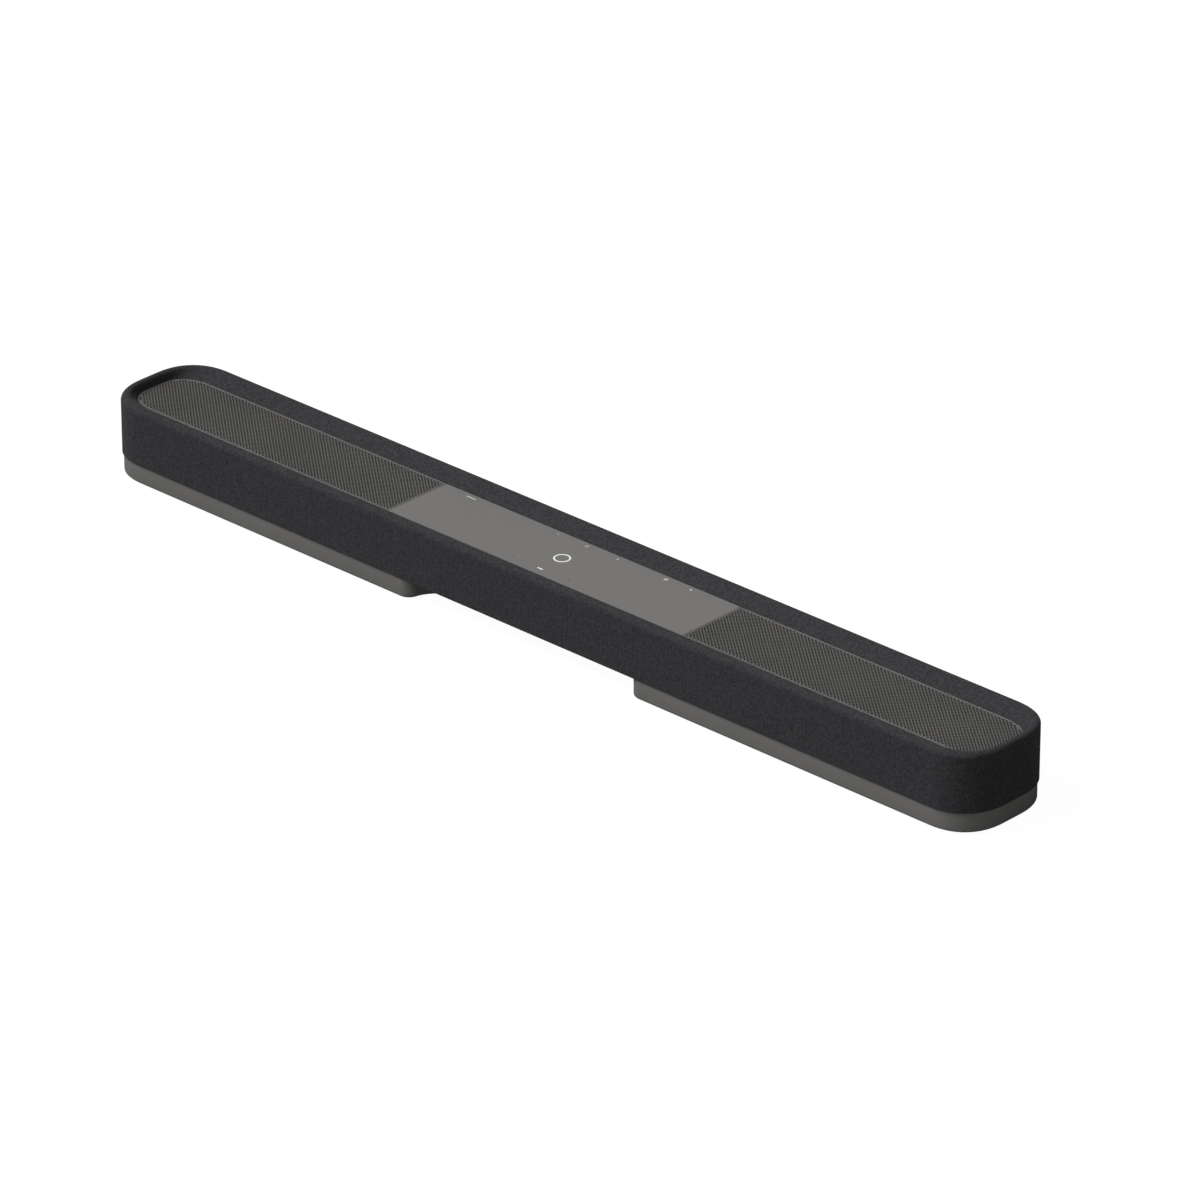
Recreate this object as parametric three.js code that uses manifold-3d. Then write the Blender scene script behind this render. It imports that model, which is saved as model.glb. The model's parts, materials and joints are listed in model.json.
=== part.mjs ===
// Soundbar: a long cloth-wrapped cabinet with a sunk top, standing on two low end bases.
//
// Frame: millimetres, +X to the listener's right, +Y to the back, +Z up. The origin is on the
// surface that the bar stands on, under the middle of the bar. Outlines are seen from above and
// are named by their inset, the distance in from the outermost cloth face.

import * as THREE from "three";
import { mergeVertices } from "three/addons/utils/BufferGeometryUtils.js";
import Module from "manifold-3d";

const wasm = await Module();
wasm.setup();

// ---- Driving dimensions -------------------------------------------------------------------

const LENGTH = 1051;
const DEPTH = 117.5;
const HEIGHT = 79;
const CORNER_X = 47.5; // how far the rounded end reaches along the length
const CORNER_Y = 49; // and across the depth
const CORNER_POWER = 2.35; // 2 is an ellipse, more is fuller
const CORNER_STEPS = 8;
const GAP = 0.3; // clearance between pieces that sit on each other

const CLOTH = 1.5; // cloth with its backing
const CREST_RADIUS = 6; // rounded top edge of the rim along the sides
const END_CREST_RADIUS = 3.8; // and at the ends
const CREST_STEPS = 6;
const RIM_WIDTH = 21; // from the outer face to the edge of the sunk top, along the sides
const END_RIM_WIDTH = 8; // and at the ends
const RIM_DROP = 9; // from the crest down to the sunk top

const FRAME_WALL = 3; // moulded frame under the cloth
const END_FRAME_LENGTH = 73.5; // each curved end frame, along the bar
const LEDGE_REACH = 5.5; // ledge that carries the grilles, in from the rim's edge
const LEDGE_THICKNESS = 2;
const PLATE_THICKNESS = 2.7; // bottom plate of the cabinet

const PANEL_HALF = 178; // half the length of the smooth control panel
const TOP_THICKNESS = 2.4; // control panel and grilles
const TOP_CLEARANCE = 0.4; // seam round the control panel and the grilles

const PAD_HEIGHT = 2.3; // rubber pads
const PAD_LENGTH = 150;
const PAD_WIDTH = 14;
const PAD_X = 330;
const PAD_FROM_SIDE = 21.1; // from the side of the base to the middle of a pad

const BASE_HEIGHT = 19.3;
const BASE_INSET = 1.4;
const BASE_ROUND = 3; // rounded lower edge
const BASE_ROUND_STEPS = 3;
const BASE_WALL = 2.5;
const BASE_INNER_X = 133; // inner end of each base, from the middle of the bar
const BASE_CORNER = 12; // its rounded corner
const BASE_SWEEP = 30; // hollow curve from the base into the narrow bridge
const BRIDGE_HALF = 24; // half the width of the bridge between the bases

const WOOFER_SIDE_ROOM = 6.7; // between the woofer and the wall of the frame
const WOOFER_END_ROOM = 11; // and between it and the bulkhead
const WOOFER_EDGE = 11; // flange and surround, outside the cone
const WOOFER_COIL_RADIUS = 12.5;

const DRIVER_HEADROOM = 0.7; // small full-range drivers fill the height, less this
const DRIVER_CONE_SHARE = 0.77; // of the driver's own radius
const DRIVER_DEPTH = 25;
const FRONT_DRIVER_X = 213; // left and right front drivers
const ROUND_STEPS = 14;
const WOOFER_STEPS = 24;

const BULKHEAD_X = 240; // wall that closes the woofer's chamber
const BULKHEAD_THICKNESS = 2.4;
const DECK_END_ROOM = 3.4; // between the end of a speaker deck and the side driver
const DECK_THICKNESS = 2.4;

const BOARD_THICKNESS = 1.6;
const BOARD_LIFT = 4; // circuit boards stand this far above the bottom plate

// ---- Levels and places worked out from them -----------------------------------------------

const BASE_BOTTOM = PAD_HEIGHT + GAP;
const BASE_TOP = BASE_BOTTOM + BASE_HEIGHT;
const CLOTH_BOTTOM = BASE_TOP + GAP;
const PLATE_BOTTOM = CLOTH_BOTTOM + GAP;
const PLATE_TOP = PLATE_BOTTOM + PLATE_THICKNESS;
const FRAME_BOTTOM = PLATE_TOP + GAP;
const TOP_LEVEL = HEIGHT - RIM_DROP;
const LEDGE_TOP = TOP_LEVEL - TOP_THICKNESS - GAP;
const LEDGE_BOTTOM = LEDGE_TOP - LEDGE_THICKNESS;
const FRAME_OUTER = CLOTH + GAP;
const FRAME_INNER = FRAME_OUTER + FRAME_WALL;
const DECK_TOP = LEDGE_BOTTOM - GAP;
const DECK_BOTTOM = DECK_TOP - DECK_THICKNESS;
const SPEAKER_FACE = DECK_BOTTOM - GAP; // upward drivers hang under the deck
const DRIVER_RADIUS = (LEDGE_BOTTOM - FRAME_BOTTOM - DRIVER_HEADROOM) / 2;
const DRIVER_CONE_RADIUS = DRIVER_CONE_SHARE * DRIVER_RADIUS;
const DRIVER_LEVEL = FRAME_BOTTOM + DRIVER_RADIUS;
const DECK_INNER_X = BULKHEAD_X + BULKHEAD_THICKNESS / 2 + GAP;
const BOARD_BOTTOM = PLATE_TOP + BOARD_LIFT;
const FRAME_END_X = LENGTH / 2 - END_FRAME_LENGTH;
const PAD_Y = DEPTH / 2 - BASE_INSET - PAD_FROM_SIDE;
const WOOFER_RADIUS = DEPTH / 2 - FRAME_INNER - WOOFER_SIDE_ROOM;
const WOOFER_CONE_RADIUS = WOOFER_RADIUS - WOOFER_EDGE;
const WOOFER_X = BULKHEAD_X + WOOFER_END_ROOM + WOOFER_RADIUS;

// ---- Materials ----------------------------------------------------------------------------

const finish = (color, roughness, metalness = 0) =>
  new THREE.MeshStandardMaterial({ color, roughness, metalness });
const cloth = () => finish(0x1e1f22, 0.95);
const greyPlastic = () => finish(0x565350, 0.5);
const blackPlastic = () => finish(0x18181a, 0.6);
const greyMetal = () => finish(0x6a6763, 0.45, 0.3);
const rubber = () => finish(0x121212, 0.9);
const steel = () => finish(0x8c8f92, 0.35, 0.9);
const paper = () => finish(0x232326, 0.8);
const circuit = () => finish(0x16382a, 0.6);
const lens = () => finish(0xe8e8e4, 0.3);

// ---- Solids -------------------------------------------------------------------------------

const RIGHT = new THREE.Vector3(1, 0, 0);
const LEFT = new THREE.Vector3(-1, 0, 0);
const FRONT = new THREE.Vector3(0, -1, 0);
const BACK = new THREE.Vector3(0, 1, 0);
const UP = new THREE.Vector3(0, 0, 1);

// A closed geometry as a manifold-3d solid, with its faces turned outwards.
function solid(geometry) {
  const bare = geometry.index ? geometry.clone() : geometry;
  bare.deleteAttribute("normal");
  bare.deleteAttribute("uv");
  const merged = mergeVertices(bare, 1e-4);
  const vertProperties = new Float32Array(merged.attributes.position.array);
  const triVerts = new Uint32Array(merged.index.array);
  const made = new wasm.Manifold(new wasm.Mesh({ numProp: 3, vertProperties, triVerts }));
  if (made.volume() > 0) return made;
  triVerts.reverse();
  return new wasm.Manifold(new wasm.Mesh({ numProp: 3, vertProperties, triVerts }));
}

// A manifold-3d solid as a three.js geometry.
function geometryOf(made) {
  const mesh = made.getMesh();
  const positions = new Float32Array(mesh.numVert * 3);
  for (let i = 0; i < mesh.numVert; i++) {
    const start = i * mesh.numProp;
    positions.set(mesh.vertProperties.subarray(start, start + 3), i * 3);
  }
  const geometry = new THREE.BufferGeometry();
  geometry.setAttribute("position", new THREE.BufferAttribute(positions, 3));
  geometry.setIndex(new THREE.BufferAttribute(mesh.triVerts, 1));
  return geometry;
}

function box(x0, x1, y0, y1, z0, z1) {
  const geometry = new THREE.BoxGeometry(x1 - x0, y1 - y0, z1 - z0);
  geometry.translate((x0 + x1) / 2, (y0 + y1) / 2, (z0 + z1) / 2);
  return solid(geometry);
}

// A flat outline of [x, y] points raised from z0 to z1.
function prism(points, z0, z1) {
  const shape = new THREE.Shape(points.map(([x, y]) => new THREE.Vector2(x, y)));
  const geometry = new THREE.ExtrudeGeometry(shape, { depth: z1 - z0, bevelEnabled: false });
  geometry.translate(0, 0, z0);
  return solid(geometry);
}

// Outlines with equal numbers of points, each at its own level, joined into one solid.
function loft(outlines, levels) {
  const around = outlines[0].length;
  const positions = outlines.flatMap((points, s) => points.map(([x, y]) => [x, y, levels[s]]));
  const index = [];
  for (let s = 0; s + 1 < outlines.length; s++) {
    for (let i = 0; i < around; i++) {
      const j = (i + 1) % around;
      const [a, b, c, d] = [s * around + i, s * around + j, (s + 1) * around + j, (s + 1) * around + i];
      index.push(a, b, c, a, c, d);
    }
  }
  const flat = (points) => points.map(([x, y]) => new THREE.Vector2(x, y));
  const last = (outlines.length - 1) * around;
  const bottomCap = THREE.ShapeUtils.triangulateShape(flat(outlines[0]), []);
  const topCap = THREE.ShapeUtils.triangulateShape(flat(outlines[outlines.length - 1]), []);
  bottomCap.forEach(([a, b, c]) => index.push(a, c, b));
  topCap.forEach(([a, b, c]) => index.push(last + a, last + b, last + c));
  const geometry = new THREE.BufferGeometry();
  geometry.setAttribute("position", new THREE.Float32BufferAttribute(positions.flat(), 3));
  geometry.setIndex(index);
  return solid(geometry);
}

// A profile of [radius, height] points turned about the Z axis.
function turned(profile, steps = ROUND_STEPS) {
  const points = profile.map(([r, z]) => new THREE.Vector2(r, z));
  points.push(points[0].clone());
  const geometry = new THREE.LatheGeometry(points, steps);
  geometry.rotateX(Math.PI / 2);
  return solid(geometry);
}

const rod = (radius, z0, z1, steps = ROUND_STEPS) =>
  turned([[0, z0], [radius, z0], [radius, z1], [0, z1]], steps);

// The same solid with its +Z direction laid along a new axis, then moved to a place.
function aimed(made, direction, place) {
  const turn = new THREE.Quaternion().setFromUnitVectors(UP, direction);
  const geometry = geometryOf(made);
  geometry.applyQuaternion(turn);
  geometry.translate(place.x, place.y, place.z);
  return solid(geometry);
}

const lifted = (made, x, y, z) => aimed(made, UP, new THREE.Vector3(x, y, z));


// ---- The bar's outline and everything that follows it -------------------------------------

// One rounded corner as [x, y] points, from the X side to the Y side of its quarter. It can be
// moved in by one distance at the end and by another along the side.
function cornerPoints(endInset, signX, signY, sideInset = endInset) {
  const reachX = CORNER_X - endInset;
  const reachY = CORNER_Y - sideInset;
  const centreX = LENGTH / 2 - CORNER_X;
  const centreY = DEPTH / 2 - CORNER_Y;
  return Array.from({ length: CORNER_STEPS + 1 }, (_, i) => {
    const angle = (i / CORNER_STEPS) * (Math.PI / 2);
    const x = centreX + reachX * Math.abs(Math.cos(angle)) ** (2 / CORNER_POWER);
    const y = centreY + reachY * Math.sin(angle) ** (2 / CORNER_POWER);
    return [signX * x, signY * y];
  });
}

function outline(endInset, sideInset = endInset) {
  return [
    ...cornerPoints(endInset, 1, 1, sideInset),
    ...cornerPoints(endInset, -1, 1, sideInset).reverse(),
    ...cornerPoints(endInset, -1, -1, sideInset),
    ...cornerPoints(endInset, 1, -1, sideInset).reverse(),
  ];
}

// How much of the end's section each point of an outline has: all of it at the middle of an end,
// none along a side.
const endShares = (() => {
  const corner = Array.from(
    { length: CORNER_STEPS + 1 }, (_, i) => Math.cos((i / CORNER_STEPS) * (Math.PI / 2)) ** 2);
  const back = [...corner].reverse();
  return [...corner, ...back, ...corner, ...back];
})();

// A section of [inset, z] points carried once round the outline. It turns from the section of the
// sides into the section of the ends on its way round each corner. Each twisted face is split
// from its lower corner, whichever way the section runs, so that nested rings stay parallel.
function ring(sideSection, endSection) {
  const loops = sideSection.map(([sideInset, sideZ], s) => {
    const [endInset, endZ] = endSection[s];
    return outline(endInset, sideInset).map(
      ([x, y], i) => [x, y, sideZ + (endZ - sideZ) * endShares[i]]);
  });
  const around = loops[0].length;
  const index = [];
  loops.forEach((_, s) => {
    const next = (s + 1) % loops.length;
    for (let i = 0; i < around; i++) {
      const j = (i + 1) % around;
      const [a, b, c, d] = [s * around + i, s * around + j, next * around + j, next * around + i];
      if (loops[s][i][2] <= loops[next][i][2]) index.push(a, b, c, a, c, d);
      else index.push(a, b, d, b, c, d);
    }
  });
  const geometry = new THREE.BufferGeometry();
  const positions = new THREE.Float32BufferAttribute(loops.flat(2), 3);
  geometry.setAttribute("position", positions);
  geometry.setIndex(index);
  return solid(geometry);
}

// The rim's shape along a side and at an end. The slope's angle is that of its outward normal.
function rimShape(radius, width) {
  const crestToEdge = [width - radius, radius - RIM_DROP];
  const slope =
    Math.atan2(crestToEdge[1], crestToEdge[0]) + Math.acos(radius / Math.hypot(...crestToEdge));
  return { radius, width, slope };
}

const SIDE_RIM = rimShape(CREST_RADIUS, RIM_WIDTH);
const END_RIM = rimShape(END_CREST_RADIUS, END_RIM_WIDTH);

// The rim's surface moved in by a distance: up the wall, over the crest and down the slope.
function rimLine(rim, depth, bottom) {
  const radius = rim.radius - depth;
  const line = [[depth, bottom]];
  for (let i = 0; i <= CREST_STEPS; i++) {
    const angle = Math.PI + (rim.slope - Math.PI) * (i / CREST_STEPS);
    const inset = rim.radius + radius * Math.cos(angle);
    line.push([inset, HEIGHT - rim.radius + radius * Math.sin(angle)]);
  }
  const edgeInset = rim.width - depth * Math.cos(rim.slope);
  line.push([edgeInset, TOP_LEVEL - depth * Math.sin(rim.slope)]);
  return line;
}

// The frame under the cloth: its outer face, the ledge that carries the sunk top, and its inner
// face. Along the sides the inner face follows the rim; at the narrow ends it stays upright.
function frameRing() {
  const section = (rim, innerLine, ledgeStart) => {
    const outer = rimLine(rim, FRAME_OUTER, FRAME_BOTTOM);
    const edge = outer[outer.length - 1][0];
    const ledgeEdge = rim.width + LEDGE_REACH;
    const ledge = [
      [edge, LEDGE_TOP],
      [ledgeEdge, LEDGE_TOP],
      [ledgeEdge, LEDGE_BOTTOM],
      [ledgeStart(edge), LEDGE_BOTTOM],
    ];
    return [...outer, ...ledge, ...innerLine.reverse()];
  };
  const sideInner = rimLine(SIDE_RIM, FRAME_INNER, FRAME_BOTTOM).slice(0, -1);
  const uprightStep = 0.9;
  const endInner = sideInner.map((_, i) => {
    const level = LEDGE_BOTTOM - 0.5 - uprightStep * (sideInner.length - 1 - i);
    return [FRAME_INNER, i ? level : FRAME_BOTTOM];
  });
  return ring(
    section(SIDE_RIM, sideInner, (edge) => edge - FRAME_WALL),
    section(END_RIM, endInner, () => FRAME_INNER + 0.4));
}

function fabricCover() {
  const section = (rim) =>
    [...rimLine(rim, 0, CLOTH_BOTTOM), ...rimLine(rim, CLOTH, CLOTH_BOTTOM).reverse()];
  return ring(section(SIDE_RIM), section(END_RIM));
}

const bottomPlate = () => prism(outline(FRAME_OUTER), PLATE_BOTTOM, PLATE_TOP);

// Part of the sunk top between two places along the length.
function topPiece(x0, x1) {
  const shape = outline(END_RIM_WIDTH + TOP_CLEARANCE, RIM_WIDTH + TOP_CLEARANCE);
  const whole = prism(shape, TOP_LEVEL - TOP_THICKNESS, TOP_LEVEL);
  return whole.intersect(box(x0, x1, -DEPTH, DEPTH, 0, HEIGHT));
}

// ---- Bases --------------------------------------------------------------------------------

const SWEEP_REST = 0.2; // the hollow curve stops this far, in radians, short of the bridge's line

// The rounded inner corner and the hollow curve touch at one point, on the line through their
// centres, so that the wall runs from one into the other without a break.
const CORNER_CENTRE_X = BASE_INNER_X + BASE_CORNER;
const CORNER_CENTRE_Y = DEPTH / 2 - BASE_INSET - BASE_CORNER;
const SWEEP_CENTRE_Y = BRIDGE_HALF + BASE_SWEEP;
const CENTRES_RISE = SWEEP_CENTRE_Y - CORNER_CENTRE_Y;
const CENTRES_RUN = Math.sqrt((BASE_CORNER + BASE_SWEEP) ** 2 - CENTRES_RISE ** 2);
const SWEEP_CENTRE_X = CORNER_CENTRE_X - CENTRES_RUN;
const TANGENT_ANGLE = Math.PI - Math.atan2(CENTRES_RISE, CENTRES_RUN);

function arcPoints(centreX, centreY, radius, from, to, steps) {
  return Array.from({ length: steps + 1 }, (_, i) => {
    const angle = from + ((to - from) * i) / steps;
    return [centreX + radius * Math.cos(angle), centreY + radius * Math.sin(angle)];
  });
}

// Outline of the right base, moved in by a wall: the bar's rounded end, a rounded inner corner,
// then a hollow curve that runs into the narrow bridge. The end that meets the bridge can keep
// its own distance in.
function baseOutline(wall, endWall = wall) {
  const corner = arcPoints(
    CORNER_CENTRE_X, CORNER_CENTRE_Y, BASE_CORNER - wall, Math.PI / 2, TANGENT_ANGLE, 5);
  const sweep = arcPoints(
    SWEEP_CENTRE_X, SWEEP_CENTRE_Y, BASE_SWEEP + wall,
    TANGENT_ANGLE - Math.PI, -Math.PI / 2 + SWEEP_REST, 7);
  const end = cornerPoints(BASE_INSET + wall, 1, 1);
  const half = [...end, ...corner, ...sweep.slice(1), [SWEEP_CENTRE_X + endWall, BRIDGE_HALF - wall]];
  const mirrored = half.map(([x, y]) => [x, -y]).reverse();
  return [...half, ...mirrored];
}

// An open-topped tray of the right base, turned round for the left one.
function baseTray(direction) {
  const turnRound = (points) => points.map(([x, y]) => [direction * x, direction * y]);
  const angles = arcPoints(0, 0, 1, 0, Math.PI / 2, BASE_ROUND_STEPS);
  const lowerEdge = angles.map(([c, s]) => [BASE_ROUND * (1 - s), BASE_BOTTOM + BASE_ROUND * (1 - c)]);
  const sections = [...lowerEdge, [0, BASE_TOP]];
  const outer = loft(
    sections.map(([wall]) => turnRound(baseOutline(wall, 0))), sections.map(([, z]) => z));
  const inner = prism(turnRound(baseOutline(BASE_WALL)), BASE_BOTTOM + BASE_WALL, HEIGHT);
  return outer.subtract(inner);
}

const BRIDGE_X = SWEEP_CENTRE_X - GAP;

// Sockets along the bridge's back wall: centre, width, height and depth of each opening.
const SOCKET_LEVEL = (BASE_BOTTOM + BASE_TOP) / 2;
const SOCKET_WALL = 1.5;
const SOCKET_DEPTH = 15;
const SOCKETS = {
  mains_inlet: { x: -78, openings: [0], width: 18, height: 9 },
  optical_socket: { x: -50, openings: [0], width: 9, height: 9 },
  display_sockets: { x: -8, openings: [-21, 0, 21], width: 15, height: 5.4 },
  service_socket: { x: 33, openings: [0], width: 13.4, height: 5.8 },
  network_socket: { x: 57, openings: [0], width: 12, height: 9 },
  sub_out_socket: { x: 82, openings: [0], width: 9.4, height: 9.4 },
};

function socketHalfWidth({ openings, width }) {
  return Math.max(...openings) + width / 2 + SOCKET_WALL;
}

function socketBlock({ x, openings, width, height }) {
  const halfWidth = socketHalfWidth({ openings, width });
  const halfHeight = height / 2 + SOCKET_WALL;
  const back = BRIDGE_HALF - GAP;
  const front = back - SOCKET_DEPTH - SOCKET_WALL;
  const levels = [SOCKET_LEVEL - halfHeight, SOCKET_LEVEL + halfHeight];
  let block = box(x - halfWidth, x + halfWidth, front, back, ...levels);
  for (const offset of openings) {
    const left = x + offset - width / 2;
    const [low, high] = [SOCKET_LEVEL - height / 2, SOCKET_LEVEL + height / 2];
    block = block.subtract(box(left, left + width, back - SOCKET_DEPTH, DEPTH, low, high));
  }
  return block;
}

function mainsInlet(socket) {
  const pinSpacing = 8.6;
  const pinLength = 9;
  const root = BRIDGE_HALF - GAP - SOCKET_DEPTH - SOCKET_WALL / 2;
  return [-1, 1].reduce((block, side) => {
    const place = new THREE.Vector3(socket.x + (side * pinSpacing) / 2, root, SOCKET_LEVEL);
    return block.add(aimed(rod(1.2, 0, pinLength + SOCKET_WALL / 2, 10), BACK, place));
  }, socketBlock(socket));
}

function subOutSocket(socket) {
  const root = BRIDGE_HALF - GAP - SOCKET_DEPTH - SOCKET_WALL / 2;
  const sleeve = turned([[1.6, 0], [2.6, 0], [2.6, 9], [1.6, 9]], 12);
  return socketBlock(socket).add(
    aimed(sleeve, BACK, new THREE.Vector3(socket.x, root, SOCKET_LEVEL)));
}

// Open-topped bridge between the bases, with a cut in its back wall for each socket.
function connectorBridge() {
  let tray = box(-BRIDGE_X, BRIDGE_X, -BRIDGE_HALF, BRIDGE_HALF, BASE_BOTTOM, BASE_TOP);
  const [insideX, insideY] = [BRIDGE_X - BASE_WALL, BRIDGE_HALF - BASE_WALL];
  tray = tray.subtract(
    box(-insideX, insideX, -insideY, insideY, BASE_BOTTOM + BASE_WALL, HEIGHT));
  for (const socket of Object.values(SOCKETS)) {
    const halfWidth = socketHalfWidth(socket) + GAP;
    const halfHeight = socket.height / 2 + SOCKET_WALL + GAP;
    const levels = [SOCKET_LEVEL - halfHeight, SOCKET_LEVEL + halfHeight];
    tray = tray.subtract(box(socket.x - halfWidth, socket.x + halfWidth, 0, DEPTH, ...levels));
  }
  return tray;
}

function rubberPad(x, y) {
  const run = PAD_LENGTH / 2 - PAD_WIDTH / 2;
  const right = arcPoints(run, 0, PAD_WIDTH / 2, -Math.PI / 2, Math.PI / 2, 6);
  const left = arcPoints(-run, 0, PAD_WIDTH / 2, Math.PI / 2, (3 * Math.PI) / 2, 6);
  return prism([...right, ...left].map(([px, py]) => [px + x, py + y]), 0, PAD_HEIGHT);
}

// ---- Loudspeakers -------------------------------------------------------------------------

// Woofer, with its flange face at height 0 and firing up. Depths are below that face.
const FLANGE = 2.5;
const CONE_EDGE = -3.2;
const CONE_NECK = -12.6;
const SPIDER_LEVEL = -16.5;
const BASKET_FOOT = -20;
const MAGNET_TOP = BASKET_FOOT - GAP;
const MAGNET_RADIUS = 30;
const MAGNET_BOTTOM = PLATE_TOP + 1 - SPEAKER_FACE;
const SEAT_RADIUS = WOOFER_CONE_RADIUS + 5; // where the surround is glued to the flange
const SPIDER_THICKNESS = 0.6;
const SPIDER_ROOM = 0.64; // between the spider's edge and the basket's inner wall
const BASKET_FOOT_RADIUS = MAGNET_RADIUS + 1;

// Radius of the basket's inner wall at a level.
function basketInside(level) {
  const share = (level - BASKET_FOOT - 1.6) / (-FLANGE - BASKET_FOOT - 1.6);
  return BASKET_FOOT_RADIUS + (SEAT_RADIUS - BASKET_FOOT_RADIUS) * share;
}

function wooferBasket() {
  const foot = BASKET_FOOT_RADIUS;
  const neck = WOOFER_COIL_RADIUS + 2;
  const shell = turned([
    [SEAT_RADIUS, 0], [SEAT_RADIUS, -FLANGE], [foot, BASKET_FOOT + 1.6],
    [neck, BASKET_FOOT + 1.6], [neck, BASKET_FOOT], [foot + 1, BASKET_FOOT],
    [SEAT_RADIUS + 2.2, -FLANGE], [WOOFER_RADIUS, -FLANGE], [WOOFER_RADIUS, 0],
  ], WOOFER_STEPS);
  const [windowTop, windowBottom] = [-FLANGE - 2.5, BASKET_FOOT + 3.6];
  const window = box(-11, 11, -WOOFER_RADIUS, WOOFER_RADIUS, windowBottom, windowTop);
  const across = box(-WOOFER_RADIUS, WOOFER_RADIUS, -11, 11, windowBottom, windowTop);
  return shell.subtract(window).subtract(across);
}

function wooferMagnet() {
  const pole = WOOFER_COIL_RADIUS - 1.2;
  const gapEdge = WOOFER_COIL_RADIUS + 2;
  const floor = MAGNET_BOTTOM + 3;
  return turned([
    [0, MAGNET_BOTTOM], [MAGNET_RADIUS, MAGNET_BOTTOM], [MAGNET_RADIUS, MAGNET_TOP],
    [gapEdge, MAGNET_TOP], [gapEdge, floor], [pole, floor], [pole, MAGNET_TOP], [0, MAGNET_TOP],
  ], WOOFER_STEPS);
}

function wooferCone() {
  const coil = WOOFER_COIL_RADIUS;
  const coilBottom = MAGNET_TOP - 3;
  return turned([
    [0, -8.4], [6, -9], [12, -11], [coil + 1.6, CONE_NECK + 1], [WOOFER_CONE_RADIUS, CONE_EDGE],
    [WOOFER_CONE_RADIUS, CONE_EDGE - 1], [coil + 0.8, CONE_NECK - 0.6], [coil + 0.8, coilBottom],
    [coil, coilBottom], [coil, CONE_NECK + 0.6], [6, -10], [0, -9.4],
  ], WOOFER_STEPS);
}

// Half-roll of rubber between the cone's edge and the flange.
function wooferSurround() {
  const inner = WOOFER_CONE_RADIUS + GAP;
  const outer = SEAT_RADIUS - GAP;
  const middle = (inner + outer) / 2;
  const roll = (radius) => arcPoints(middle, -2.2, radius, Math.PI, 0, 4);
  const outerRoll = roll((outer - inner) / 2);
  const innerRoll = roll((outer - inner) / 2 - 0.8).reverse();
  return turned([...outerRoll, ...innerRoll], WOOFER_STEPS);
}

function wooferSpider() {
  const inner = WOOFER_COIL_RADIUS + 0.8 + GAP;
  const outer = basketInside(SPIDER_LEVEL - SPIDER_THICKNESS) - SPIDER_ROOM;
  const waves = 4;
  const top = Array.from({ length: waves + 1 }, (_, i) => {
    const lift = i % 2 ? 0.7 : 0;
    return [inner + ((outer - inner) * i) / waves, SPIDER_LEVEL + lift];
  });
  return turned([...top, ...top.map(([r, z]) => [r, z - SPIDER_THICKNESS]).reverse()], WOOFER_STEPS);
}

// Small full-range driver: frame with its magnet, then the cone with its coil.
// Radii are given for a radius of 20 and follow the driver's own.
const turnedToFit = (profile) =>
  turned(profile.map(([radius, z]) => [(radius * DRIVER_RADIUS) / 20, z]));

function driverFrame() {
  return turnedToFit([
    [0, -DRIVER_DEPTH], [14.5, -DRIVER_DEPTH], [14.5, -9], [17.8, -2.4],
    [20, -2.4], [20, 0], [16.8, 0], [16.6, -2.6], [12.6, -11],
    [8.6, -11], [8.6, -20], [5.8, -20], [5.8, -11], [0, -11],
  ]);
}

function driverCone() {
  const edge = 20 * DRIVER_CONE_SHARE;
  return turnedToFit([
    [0, -3.6], [4, -4.2], [7, -6.2], [edge - 1.6, -1.6],
    [edge, -1.6], [edge, -2.4], [edge - 1.4, -2.6],
    [7.4, -7.4], [7.4, -15], [6.6, -15], [6.6, -7], [4, -5.2], [0, -4.6],
  ]);
}

// How far a curved end wall has come in at the rim of a driver that sits at its middle.
function endWallCurve() {
  const past = Math.max(0, DRIVER_RADIUS - (DEPTH / 2 - CORNER_Y));
  const share = past / (CORNER_Y - FRAME_INNER);
  const along = (1 - share ** CORNER_POWER) ** (1 / CORNER_POWER);
  return (CORNER_X - FRAME_INNER) * (1 - along);
}

const FRONT_FACE_Y = -(DEPTH / 2 - FRAME_INNER - GAP);
const END_FACE_X = LENGTH / 2 - FRAME_INNER - endWallCurve() - 2 * GAP;
const DECK_OUTER_X = END_FACE_X - DRIVER_DEPTH - DECK_END_ROOM;
const UP_DRIVER_X = (WOOFER_X + WOOFER_RADIUS + DECK_OUTER_X) / 2;
const DRIVERS = {
  front_left_driver: [FRONT, -FRONT_DRIVER_X, FRONT_FACE_Y, DRIVER_LEVEL],
  front_centre_driver: [FRONT, 0, FRONT_FACE_Y, DRIVER_LEVEL],
  front_right_driver: [FRONT, FRONT_DRIVER_X, FRONT_FACE_Y, DRIVER_LEVEL],
  side_left_driver: [LEFT, -END_FACE_X, 0, DRIVER_LEVEL],
  side_right_driver: [RIGHT, END_FACE_X, 0, DRIVER_LEVEL],
  up_left_driver: [UP, -UP_DRIVER_X, 0, SPEAKER_FACE],
  up_right_driver: [UP, UP_DRIVER_X, 0, SPEAKER_FACE],
};

// Hole in a wall in front of each small driver that fires through it.
function withDriverHoles(wall) {
  const hole = rod(DRIVER_CONE_RADIUS + 1.4, -4, 12);
  const firing = Object.values(DRIVERS).filter(([direction]) => direction !== UP);
  return firing.reduce(
    (cut, [direction, x, y, z]) =>
      cut.subtract(aimed(hole, direction, new THREE.Vector3(x, y, z))), wall);
}

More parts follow.
